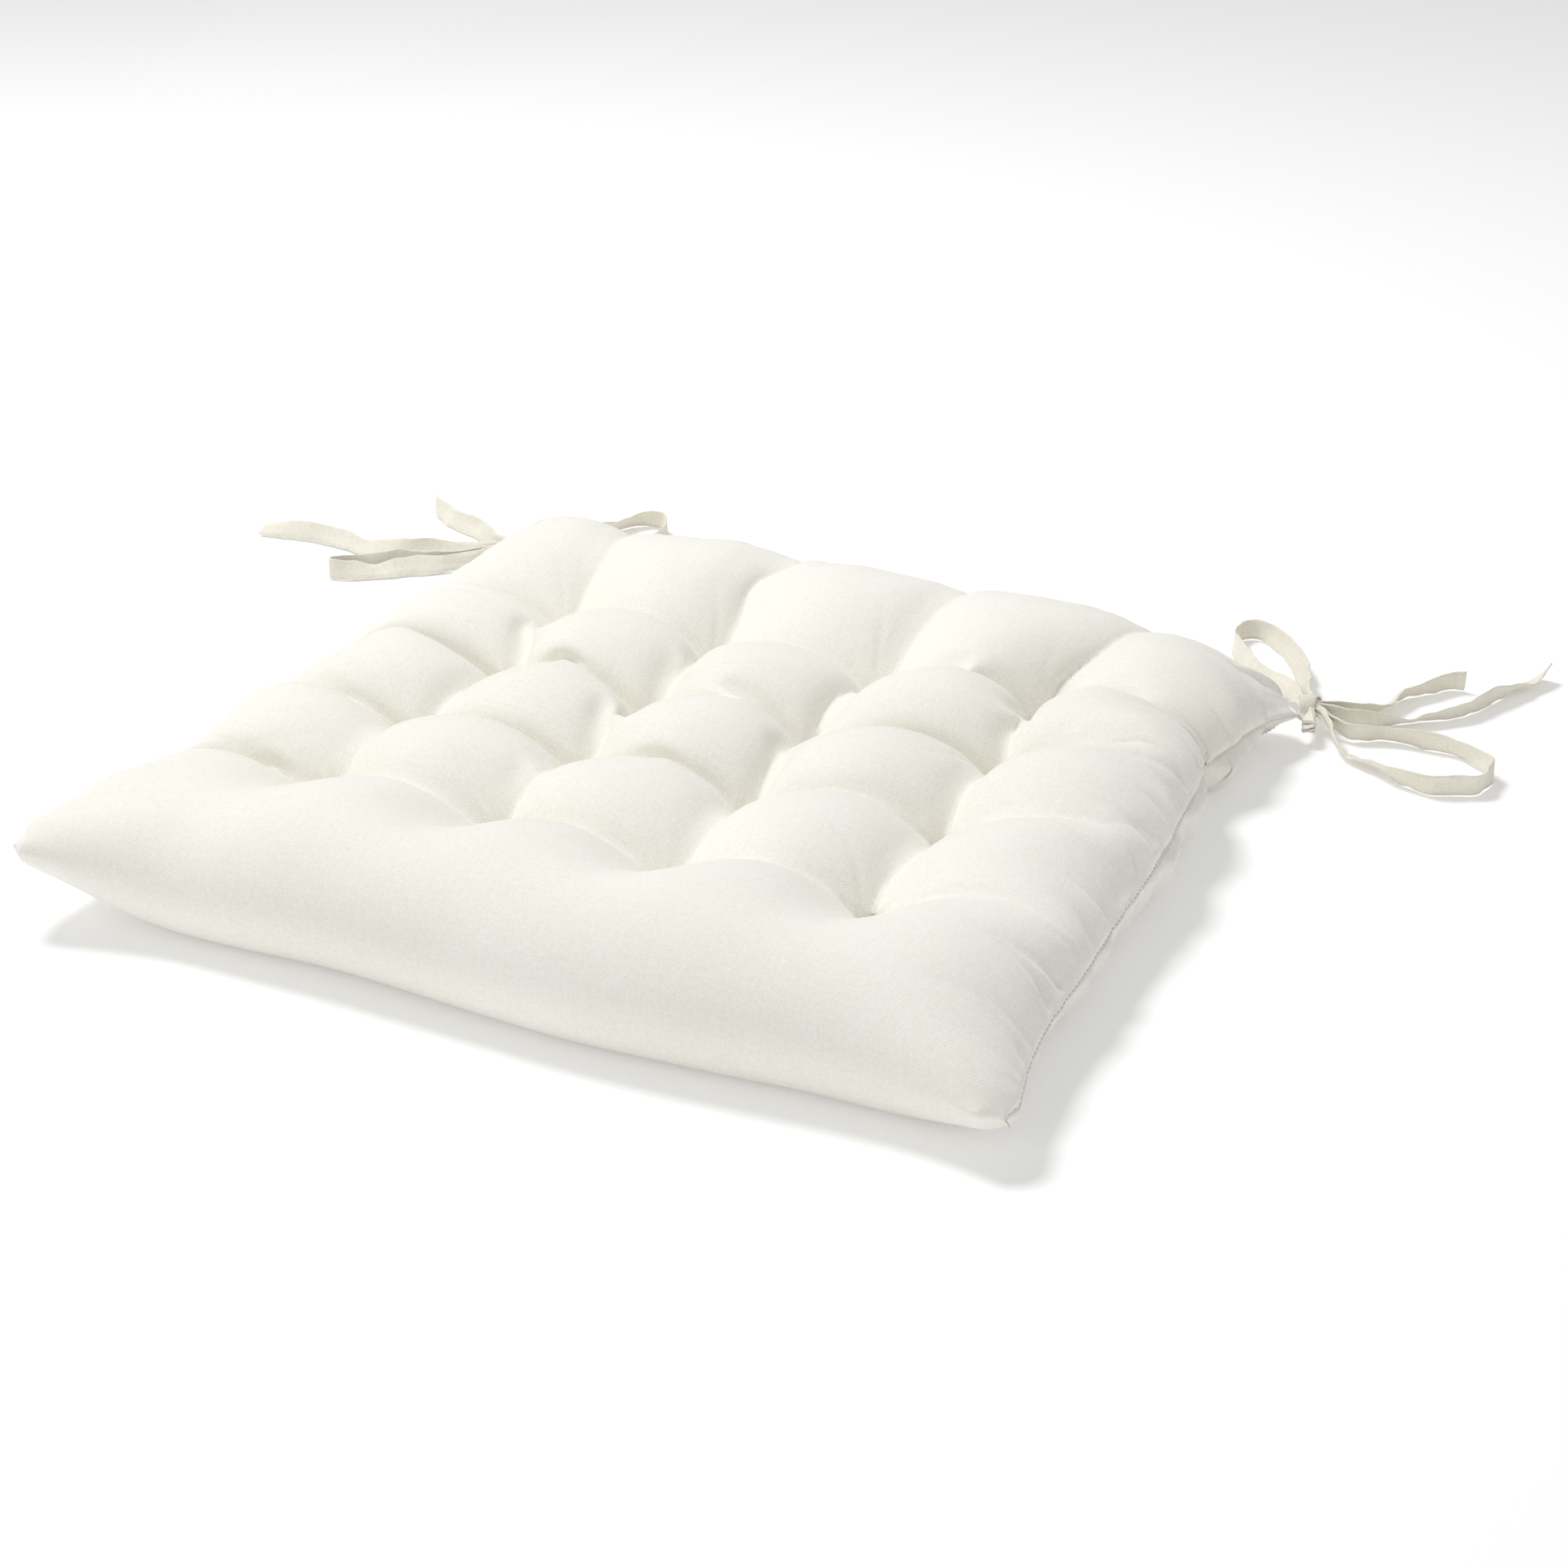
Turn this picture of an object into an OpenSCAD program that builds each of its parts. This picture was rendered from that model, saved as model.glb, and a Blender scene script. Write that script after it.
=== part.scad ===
// Tufted chair seat pad with a bow-tied tape at each back corner.
// Origin: middle of the underside. +X runs to the right along the front edge,
// +Y runs to the back edge, where the ties are, and +Z is up.

/* [Pad] */
// Width across the two front corners
front_w = 400; // [385:1:430]
// Width across the two back corners
back_w = 370; // [355:1:384]
// Depth from the front corners to the back corners
pad_d = 380; // [365:1:384]
// Height of the fullest puffs
pad_h = 62; // [50:1:72]
// How far the left and right edges pull in between their corners
side_pull = 20; // [0:1:28]
// How far the back edge pulls in between its corners
back_pull = 10; // [0:1:20]
// How far the front fold pulls in between its corners
front_pull = 3; // [0:1:10]

/* [Edge heights] */
// Height of the edge line along the middle of each side
edge_z = 27; // [20:1:32]
// Height of the front left corner tip
front_left_z = 35; // [15:1:40]
// Height of the front right corner tip
front_right_z = 16; // [10:1:40]
// Height of the back right corner tip
back_right_z = 8; // [8:1:12]
// Height of the back left corner tip
back_left_z = 18; // [15:1:22]

/* [Tufting] */
// Spacing of the tufts across the pad
tuft_pitch_x = 75; // [66:1:80]
// Spacing of the tufts from front to back
tuft_pitch_y = 61; // [56:1:68]
// How deep each tuft pulls the top down
tuft_depth = 36; // [24:1:40]
// How far each tuft pulls the underside up
under_depth = 14; // [4:1:16]
// Thickness of the tufting thread
tuft_thread_d = 1.2; // [0.8:0.1:2]

/* [Cover] */
// Thickness of the cotton cover
cover_t = 0.8; // [0.6:0.1:1]
// Gap left at the seam between the top and bottom panels
seam_gap = 1.6; // [1.4:0.1:2]
// Thickness of the seam thread
seam_thread_d = 0.6; // [0.4:0.1:0.6]

/* [Ties] */
// Width of the tie tape
tape_w = 10; // [8:0.5:12]
// Thickness of the tie tape
tape_t = 1.2; // [1:0.1:1.4]
// Width of the doubled tape between the seam and the knot
neck_w = 6.4; // [5:0.1:7]
// Diameter of each tied knot
knot_d = 10; // [8:0.5:10.5]

/* [Hidden] */

cotton = "#f7f6f0";
tape_cotton = "#ebe6d7";

// cells across the pad, and from front to back on each panel
nu = 34;
nv = 32;
hd = pad_d / 2;

// Back corner tips and the knots tied beside them
tip_r = [back_w / 2, hd];
tip_l = [-back_w / 2, hd];
knot_r = [tip_r[0] - 4, tip_r[1] + 15, 11];
knot_l = [tip_l[0] - 51, tip_l[1] + 42, 9];
pivot_r = [tip_r[0] - 1, tip_r[1] + 6, back_right_z + 0.5];
pivot_l = [tip_l[0] - 5, tip_l[1] + 4, back_left_z - 1];

// Centre of the tufting, which sits a little to the left
tuft_mid = [-13, 4];
// How far each hand-tied tuft sits off the even grid: rows run front to back
tuft_shift = [
    [[-3.5, 3.5], [-1.5, 0.5], [4.5, -12.5], [3.5, -2.5]],
    [[-2.5, 1.5], [3.5, -4.5], [2.5, -8.5], [4.5, 4.5]],
    [[4.5, 4.5], [-0.5, -7.5], [-1.5, -7.5], [0.5, 5.5]],
    [[-0.5, 3.5], [-5.5, -3.5], [-0.5, -3.5], [-8.5, 5.5]]];
tufts = [for (j = [0:3]) for (i = [0:3])
    [tuft_mid[0] + (i - 1.5) * tuft_pitch_x + tuft_shift[j][i][0],
     tuft_mid[1] + (j - 1.5) * tuft_pitch_y + tuft_shift[j][i][1]]];

// Tape routes beside each knot: [x, y, z, width share], measured from the knot
// in plan and from the seat in height. The tape lies on its edge.
loop_back_r = [[-2, 6.2, 11, .5], [-7, 17, 9, .7], [-14, 38, 7, .9], [-21, 58, 5.6, 1],
    [-33, 76, 5.3, 1], [-44, 88, 5.3, 1], [-53, 92, 5.3, 1], [-58, 86, 5.3, 1],
    [-57, 73, 5.3, 1], [-50, 60, 5.3, 1], [-41, 46, 5.3, 1], [-31, 38, 5.6, 1],
    [-19, 27, 7, .9], [-9, 14, 9, .7], [-4.6, 4.8, 11, .5]];
loop_front_r = [[6.3, -1.6, 10, .5], [13, -5.5, 8, .7], [22, -7, 6.4, .9], [32, -2, 5.4, 1],
    [42, -1, 5.3, 1], [52, -2, 5.3, 1], [62, -2, 5.3, 1], [72, -8, 5.3, 1],
    [80, -13, 5.3, 1], [85, -20, 5.3, 1], [85, -29, 5.3, 1], [83, -38, 5.3, 1],
    [74, -43, 5.3, 1], [65, -47, 5.3, 1], [57, -45, 5.3, 1], [48, -41, 5.3, 1],
    [38, -33, 5.3, 1], [28, -27, 5.4, 1], [22.5, -25, 6, .9], [17, -19.5, 7, .7],
    [12.5, -13, 8.5, .6], [6.2, -4.2, 10, .5]];
tail_back_r = [[5.7, 3.2, 11, .5], [11, 6, 9.5, .7], [17, 9, 8, .9], [23, 17, 6.4, 1],
    [26, 31, 5.6, 1], [29, 45, 5.4, 1], [37, 58, 5.4, 1], [45, 68, 5.4, 1], [51, 72, 5.4, 1]];
tail_front_r = [[6.4, 0.6, 10, .5], [13, 2.5, 8.4, .8], [21, 6, 7, 1], [29, 12, 6, 1],
    [37, 20, 5.5, 1], [45, 27, 5.4, 1], [53, 34, 5.4, 1], [61, 45, 5.4, 1],
    [66, 59, 5.4, 1], [71, 72, 5.4, 1], [76, 86, 5.4, 1], [81, 101, 5.4, 1]];
loop_back_l = [[1.8, 6.2, 9, .5], [6, 18, 7.4, .7], [12, 36, 6, .9], [18, 53, 5.4, 1],
    [23, 66, 5.3, 1], [28, 77, 5.3, 1], [35, 81, 5.3, 1], [43, 78, 5.3, 1],
    [49, 70, 5.3, 1], [51, 60, 5.3, 1], [46, 47, 5.3, 1], [37, 33, 5.3, 1],
    [27, 20, 6, .9], [15, 10, 7.4, .7], [5.2, 4, 9, .5]];
loop_front_l = [[-5, -4.4, 9, .5], [-15, -13, 7.2, .7], [-27, -23, 5.8, .9], [-36, -30, 5.3, 1],
    [-45, -37, 5.3, 1], [-54, -44, 5.3, 1], [-63, -51, 5.3, 1], [-71, -55, 5.3, 1],
    [-75, -52, 5.3, 1], [-71, -48, 5.3, 1], [-62, -42, 5.3, 1], [-54, -33, 5.3, 1],
    [-50, -27, 5.3, 1], [-41, -24, 5.3, 1], [-30, -19, 5.8, .9], [-18, -11, 7.2, .7],
    [-6.1, -2.4, 9, .5]];
tail_back_l = [[-5.2, 4, 9, .5], [-16, 12, 7.2, .7], [-26, 20, 5.8, .9], [-34, 26, 5.4, 1],
    [-43, 31, 5.4, 1], [-54, 35, 5.4, 1], [-66, 42, 5.4, 1], [-73, 47, 5.4, 1], [-78, 52, 5.4, 1]];
tail_front_l = [[-6.5, 0.8, 9, .5], [-17, 3, 7.2, .7], [-29, 3, 5.8, .9], [-37, -2, 5.4, 1],
    [-46, -7, 5.4, 1], [-56, -13, 5.4, 1], [-68, -17, 5.4, 1], [-81, -16, 5.4, 1],
    [-95, -13, 5.4, 1], [-115, -13, 5.4, 1], [-131, -14, 5.4, 1], [-142, -15, 5.4, 1]];

// ---- Shape of the pad -------------------------------------------------

function mix(a, b, t) = a + (b - a) * t;
// grid lines crowd a little towards the edges
function crowd(k, n) = let (l = 2 * k / n - 1) 0.55 * l + 0.45 * sin(90 * l);
function half_w(v) = mix(front_w, back_w, (v + 1) / 2) / 2;
function plan(u, v) = [
    half_w(v) * u - side_pull * pow(u, 3) * (1 - v * v),
    hd * v - (v > 0 ? back_pull : -front_pull) * pow(abs(v), 3) * (1 - u * u)];

// height of the edge line: a value at each corner, easing to edge_z between them
function corner_z(u, v) = mix(
    mix(front_left_z, front_right_z, (u + 1) / 2),
    mix(back_left_z, back_right_z, (u + 1) / 2), (v + 1) / 2);
function seam_z(u, v) = mix(edge_z, corner_z(u, v), pow(abs(u * v), 6));

// fullness from 0 at the edge to 1 inside
function full1(t) = pow(max(0, 1 - pow(abs(t), 6)), 0.45);
function full(u, v) = full1(u) * full1(v);

function bell(p, t, r) = let (d = norm(p - t) / r) exp(-d * d);
function sum(v, i = 0, s = 0) = i == len(v) ? s : sum(v, i + 1, s + v[i]);
function top_dip(p) = tuft_depth * sum([for (t = tufts) 0.55 * bell(p, t, 12) + 0.45 * bell(p, t, 34)]);
function under_dip(p) = max(0, (under_depth + 0.2) * sum([for (t = tufts) bell(p, t, 14)]) - 0.2);

function top_z(p, u, v) = let (e = full(u, v), s = seam_z(u, v))
    s + (pad_h + 3 - s) * e - e * top_dip(p);
function under_z(p, u, v) = let (s = seam_z(u, v))
    max(0, s - (s + 6) * full(u, v)) + full(u, v) * under_dip(p);

// half of the seam gap, closing at the front fold
function half_gap(v) = seam_gap / 2 * min(1, (v + 1) / 0.12);

// One sheet: row 0 is the back edge of the underside, row nv the front fold,
// row 2 nv the back edge of the top.
function row_v(i) = crowd(i <= nv ? nv - i : i - nv, nv);
function sheet_point(i, j) = let (u = crowd(j, nu), v = row_v(i), p = plan(u, v),
        edge = j == 0 || j == nu || i == 0 || i == 2 * nv,
        g = edge ? half_gap(v) : 0)
    i == nv ? [p[0], p[1], seam_z(u, v)]
  : i < nv ? [p[0], p[1], under_z(p, u, v) - g]
  : [p[0], p[1], top_z(p, u, v) + g];
outer = [for (i = [0:2 * nv]) [for (j = [0:nu]) sheet_point(i, j)]];

function unit(a) = a / max(norm(a), 1e-9);
function outward(i, j) = unit(cross(
    outer[i][min(j + 1, nu)] - outer[i][max(j - 1, 0)],
    outer[min(i + 1, 2 * nv)][j] - outer[max(i - 1, 0)][j]));
// At the seam and the fold the sheet steps straight in, so nested sheets stay parallel
function step_out(i, j) = [j == 0 ? -1 : j == nu ? 1 : 0, i == nv ? -1 : (i == 0 || i == 2 * nv) ? 1 : 0, 0];
normals = [for (i = [0:2 * nv]) [for (j = [0:nu]) let (s = step_out(i, j)) s == [0, 0, 0] ? outward(i, j) : s]];
function inset(t) = [for (i = [0:2 * nv]) for (j = [0:nu]) outer[i][j] - t * normals[i][j]];

row_n = nu + 1;
grid_n = (2 * nv + 1) * row_n;
function grid_faces(base, out) = [for (i = [0:2 * nv - 1]) for (j = [0:nu - 1])
    let (a = base + i * row_n + j, b = a + 1, c = a + row_n, d = c + 1)
    each (out ? [[a, c, b], [b, c, d]] : [[a, b, c], [b, d, c]])];
// strip between two index paths of equal length
function strip(p, q) = [for (k = [0:len(p) - 2]) each [[p[k], p[k + 1], q[k]], [p[k + 1], q[k + 1], q[k]]]];

// ---- Sweeps -----------------------------------------------------------

function heading(path, k) = unit([for (m = [0:2])
    path[min(k + 1, len(path) - 1)][m] - path[max(k - 1, 0)][m]]);
// tape cross-section, standing on its edge: across its thickness, then up its width
function tape_ring(share) = let (a = tape_w / 2 * share, b = tape_t / 2)
    [[b, -a * .8], [b, a * .8], [b * .5, a], [-b * .5, a],
     [-b, a * .8], [-b, -a * .8], [-b * .5, -a], [b * .5, -a]];
function round_ring(r) = [for (k = [0:7]) r * [cos(45 * k), sin(45 * k)]];

module sweep(path, rings) {
    n = len(path);
    pts = [for (k = [0:n - 1]) let (t = heading(path, k), s = unit([t[1], -t[0], 0]), w = cross(s, t))
        for (q = rings[k]) [path[k][0], path[k][1], path[k][2]] + s * q[0] + w * q[1]];
    polyhedron(pts, concat(
        [for (k = [0:n - 2]) for (m = [0:7]) let (a = 8 * k + m, b = 8 * k + (m + 1) % 8)
            each [[a, b, a + 8], [b, b + 8, a + 8]]],
        [[7, 6, 5, 4, 3, 2, 1, 0]],
        [[for (m = [0:7]) 8 * (n - 1) + m]]), convexity = 6);
}

module tape(route, knot) {
    sweep([for (p = route) [knot[0] + p[0], knot[1] + p[1], p[2]]],
          [for (p = route) tape_ring(p[3])]);
}

// ---- Pieces -----------------------------------------------------------

// Cotton cover: one cloth, folded at the front and open only by the seam gap
module cover() {
    back_under = [for (j = [0:nu]) j];
    back_top = [for (j = [0:nu]) 2 * nv * row_n + j];
    left_col = [for (i = [0:2 * nv]) i * row_n];
    right_col = [for (i = [0:2 * nv]) i * row_n + nu];
    color(cotton) polyhedron(
        concat(inset(0), inset(cover_t)),
        concat(grid_faces(0, true), grid_faces(grid_n, false),
            strip(back_under, [for (k = back_under) k + grid_n]),
            strip([for (k = back_top) k + grid_n], back_top),
            strip([for (k = left_col) k + grid_n], left_col),
            strip(right_col, [for (k = right_col) k + grid_n])),
        convexity = 10);
}

// Polyester fibre filling, just clear of the cover
module filling() {
    back_under = [for (j = [0:nu]) j];
    back_top = [for (j = [0:nu]) 2 * nv * row_n + j];
    left_under = [for (k = [0:nv]) k * row_n];
    left_top = [for (k = [0:nv]) (2 * nv - k) * row_n];
    right_under = [for (k = left_under) k + nu];
    right_top = [for (k = left_top) k + nu];
    function side(a, b) = [for (k = [0:nv - 1]) each
        (k == nv - 1 ? [[a[k], b[k], a[k + 1]]] : [[a[k], b[k], a[k + 1]], [a[k + 1], b[k], b[k + 1]]])];
    function flip(f) = [for (t = f) [t[2], t[1], t[0]]];
    color("#ffffff") polyhedron(inset(cover_t + 0.4),
        concat(grid_faces(0, true), strip(back_under, back_top),
            side(left_under, left_top), flip(side(right_under, right_top))),
        convexity = 10);
}

// Lockstitch thread in the seam: up the left side, along the back, down the right
module edge_seam_thread() {
    function on_seam(u, v) = let (p = plan(u, v)) [p[0] - 0.3 * sign(u) * pow(abs(u), 20), p[1] - 0.3 * pow(v, 20), seam_z(u, v)];
    first = ceil(nv * 0.1);
    path = concat(
        [for (k = [first:nv - 1]) on_seam(-1, crowd(k, nv))],
        [for (k = [0:nu]) on_seam(crowd(k, nu), 1)],
        [for (k = [nv - 1:-1:first]) on_seam(1, crowd(k, nv))]);
    color("#efece2") sweep(path, [for (p = path) round_ring(seam_thread_d / 2)]);
}

// Thread through the pad at each tuft, with a short bar on both faces
module tuft_stitch(t, turn) {
    u = t[0] / half_w(t[1] / hd);
    v = t[1] / hd;
    low = under_z(t, u, v);
    high = top_z(t, u, v);
    translate([t[0], t[1], 0]) union() {
        translate([0, 0, low]) cylinder(d = tuft_thread_d, h = high - low, $fn = 24);
        for (z = [low, high]) translate([0, 0, z]) rotate([0, 0, turn]) rotate([0, 90, 0])
            translate([0, 0, -3]) cylinder(d = tuft_thread_d * 1.1, h = 6, $fn = 24);
    }
}
module tuft_stitches() {
    color("#f2f0e8") for (k = [0:15]) tuft_stitch(tufts[k], 37 * k % 180);
}

// Dense zigzag stitching that holds the middle of a tie tape in the corner seam
module bar_tack(tip, z, turn) {
    color("#e6e1d2") translate([tip[0], tip[1], z]) rotate([0, 0, turn]) translate([-3.4, 0, 0])
        rotate([90, 0, 0]) translate([0, 0, -2.2]) cylinder(d = 1.8, h = 4.4, $fn = 32);
}
module left_bar_tack() { bar_tack(tip_l, back_left_z, 135); }
module right_bar_tack() { bar_tack(tip_r, back_right_z, 45); }

// Doubled tape between the corner seam and the knot, round where it turns
module tie_neck(pivot, knot) {
    d = [knot[0] - pivot[0], knot[1] - pivot[1]];
    run = norm(d);
    drop = atan2(knot[2] - pivot[2], run);
    color(tape_cotton) union() {
        translate([pivot[0], pivot[1], pivot[2] - tape_t]) cylinder(d = neck_w, h = 2 * tape_t, $fn = 48);
        translate(pivot) rotate([0, 0, atan2(d[1], d[0])]) rotate([0, -drop, 0])
            translate([0, -neck_w / 2, -tape_t]) cube([run, neck_w, 2 * tape_t]);
    }
}
module left_tie_neck() { tie_neck(pivot_l, knot_l); }
module right_tie_neck() { tie_neck(pivot_r, knot_r); }

// Tied knot: a round bundle of tape with its axis across the bow
module knot(k, turn) {
    r = knot_d / 2;
    color(tape_cotton) translate(k) rotate([0, 0, turn]) rotate([0, 90, 0]) rotate_extrude($fn = 48)
        polygon([[0, -r], [r * 0.6, -r * 0.92], [r * 0.96, -r * 0.6], [r * 0.96, r * 0.6], [r * 0.6, r * 0.92], [0, r]]);
}
module left_knot() { knot(knot_l, 40); }
module right_knot() { knot(knot_r, -50); }

// Each half of the tape makes one loop and one tail
module left_tape_front() { color(tape_cotton) { tape(loop_front_l, knot_l); tape(tail_front_l, knot_l); } }
module left_tape_rear() { color(tape_cotton) { tape(loop_back_l, knot_l); tape(tail_back_l, knot_l); } }
module right_tape_front() { color(tape_cotton) { tape(loop_front_r, knot_r); tape(tail_front_r, knot_r); } }
module right_tape_rear() { color(tape_cotton) { tape(loop_back_r, knot_r); tape(tail_back_r, knot_r); } }

cover();
filling();
edge_seam_thread();
tuft_stitches();
left_bar_tack();
right_bar_tack();
left_tie_neck();
left_knot();
left_tape_front();
left_tape_rear();
right_tie_neck();
right_knot();
right_tape_front();
right_tape_rear();
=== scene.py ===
import math
import time

import bpy
import numpy as np
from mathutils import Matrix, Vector


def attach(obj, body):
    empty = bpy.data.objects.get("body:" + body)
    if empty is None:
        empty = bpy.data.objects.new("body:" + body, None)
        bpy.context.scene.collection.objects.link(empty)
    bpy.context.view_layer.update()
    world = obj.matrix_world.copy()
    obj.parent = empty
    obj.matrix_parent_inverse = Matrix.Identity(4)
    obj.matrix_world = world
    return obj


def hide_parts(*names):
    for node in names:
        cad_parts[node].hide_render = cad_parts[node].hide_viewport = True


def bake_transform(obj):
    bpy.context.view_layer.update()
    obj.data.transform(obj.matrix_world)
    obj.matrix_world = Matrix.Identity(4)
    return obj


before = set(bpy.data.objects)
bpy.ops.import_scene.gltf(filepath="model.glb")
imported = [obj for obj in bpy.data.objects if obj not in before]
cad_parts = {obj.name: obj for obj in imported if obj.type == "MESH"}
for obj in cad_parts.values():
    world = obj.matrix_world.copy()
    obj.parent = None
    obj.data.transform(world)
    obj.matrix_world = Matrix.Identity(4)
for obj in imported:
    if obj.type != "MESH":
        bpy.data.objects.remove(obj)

T0 = time.time()


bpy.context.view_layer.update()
MM = 0.001
scene = bpy.context.scene

# ---------------------------------------------------------------- camera
AZ, EL, DIST = math.radians(25.808), math.radians(24.418), 1.223296
TARGET = Vector((0.00009, 0.05342, 0.0))
back_dir = Vector((math.sin(AZ) * math.cos(EL), -math.cos(AZ) * math.cos(EL), math.sin(EL)))
cam_data = bpy.data.cameras.new("camera")
cam_data.sensor_width = 36.0
cam_data.lens = 3600.0 / 1932.0 * 36.0
cam_data.clip_start = 0.05
cam = bpy.data.objects.new("camera", cam_data)
scene.collection.objects.link(cam)
cam.location = TARGET + back_dir * DIST
cam.rotation_euler = (-back_dir).to_track_quat("-Z", "Y").to_euler()
scene.camera = cam


# ---------------------------------------------------------------- helpers
def new_mesh(name, verts, faces, smooth=True):
    me = bpy.data.meshes.new(name)
    me.from_pydata([tuple(v) for v in np.asarray(verts, float)], [], [tuple(int(i) for i in f) for f in faces])
    me.validate(verbose=False)
    me.update()
    if smooth:
        me.polygons.foreach_set("use_smooth", [True] * len(me.polygons))
    ob = bpy.data.objects.new(name, me)
    scene.collection.objects.link(ob)
    return ob


def catmull(points, step):
    """A smooth line through the points, resampled evenly; extra columns are carried along."""
    p = np.asarray(points, float)
    q = np.vstack([2 * p[0] - p[1], p, 2 * p[-1] - p[-2]])
    out = []
    for k in range(1, len(q) - 2):
        a, b, c, d = q[k - 1], q[k], q[k + 1], q[k + 2]
        for t in np.linspace(0, 1, 16, endpoint=False):
            out.append(b + 0.5 * t * (c - a + t * (2 * a - 5 * b + 4 * c - d + t * (3 * (b - c) + d - a))))
    out.append(q[-2])
    out = np.array(out)
    s = np.concatenate([[0], np.cumsum(np.linalg.norm(np.diff(out[:, :3], axis=0), axis=1))])
    n = max(4, int(round(s[-1] / step)) + 1)
    x = np.linspace(0, s[-1], n)
    return np.stack([np.interp(x, s, out[:, i]) for i in range(out.shape[1])], 1), x


def wobble(rng, s, wave, amp):
    """Smooth seeded noise along a length s."""
    n = int(s[-1] / wave) + 4
    g = rng.randn(n) * amp
    x = s / wave
    i = np.minimum(x.astype(int), n - 2)
    t = x - i
    t = t * t * (3 - 2 * t)
    return g[i] * (1 - t) + g[i + 1] * t


def frames(c):
    t = np.gradient(c, axis=0)
    t /= np.linalg.norm(t, axis=1)[:, None] + 1e-12
    side = np.cross(t, [0, 0, 1.0])
    for k in range(1, len(side)):
        if np.linalg.norm(side[k]) < 0.2 or side[k] @ side[k - 1] < -0.5:
            side[k] = side[k - 1]
    side /= np.linalg.norm(side, axis=1)[:, None] + 1e-12
    up = np.cross(side, t)
    return t, side, up


def tube(name, line, r, sides=8, caps=True):
    """Round thread along a line in metres."""
    c = np.asarray(line, float)
    t, side, up = frames(c)
    a = np.arange(sides) * 2 * math.pi / sides
    r = np.broadcast_to(np.asarray(r, float), (len(c),))
    v = c[:, None] + r[:, None, None] * (np.cos(a)[None, :, None] * side[:, None] + np.sin(a)[None, :, None] * up[:, None])
    n = len(c)
    f = [(k * sides + m, k * sides + (m + 1) % sides, (k + 1) * sides + (m + 1) % sides, (k + 1) * sides + m)
         for k in range(n - 1) for m in range(sides)]
    v = v.reshape(-1, 3)
    if caps:
        v = np.vstack([v, c[0] - t[0] * r[0] * 0.6, c[-1] + t[-1] * r[-1] * 0.6])
        i0, i1 = n * sides, n * sides + 1
        f += [((m + 1) % sides, m, i0) for m in range(sides)]
        f += [((n - 1) * sides + m, (n - 1) * sides + (m + 1) % sides, i1) for m in range(sides)]
    return v, f


class Batch:
    """Several closed pieces gathered into one mesh."""
    def __init__(self):
        self.v, self.f, self.n = [], [], 0

    def add(self, v, f):
        self.v.append(np.asarray(v, float))
        self.f += [tuple(i + self.n for i in g) for g in f]
        self.n += len(v)

    def make(self, name):
        return new_mesh(name, np.vstack(self.v), self.f)


# ---------------------------------------------------------------- materials
def mat(name):
    m = bpy.data.materials.new(name)
    m.use_nodes = True
    nt = m.node_tree
    nt.nodes.clear()
    out = nt.nodes.new("ShaderNodeOutputMaterial")
    bsdf = nt.nodes.new("ShaderNodeBsdfPrincipled")
    nt.links.new(bsdf.outputs[0], out.inputs[0])
    return m, nt, bsdf


def node(nt, kind, **kw):
    n = nt.nodes.new(kind)
    for k, v in kw.items():
        if k.startswith("in_"):
            n.inputs[k[3:].replace("_", " ")].default_value = v
        else:
            setattr(n, k, v)
    return n


def math_node(nt, op, a, b=None, clamp=False):
    n = nt.nodes.new("ShaderNodeMath")
    n.operation = op
    n.use_clamp = clamp
    for i, x in enumerate((a, b)):
        if x is None:
            continue
        if isinstance(x, (int, float)):
            n.inputs[i].default_value = x
        else:
            nt.links.new(x, n.inputs[i])
    return n.outputs[0]


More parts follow.
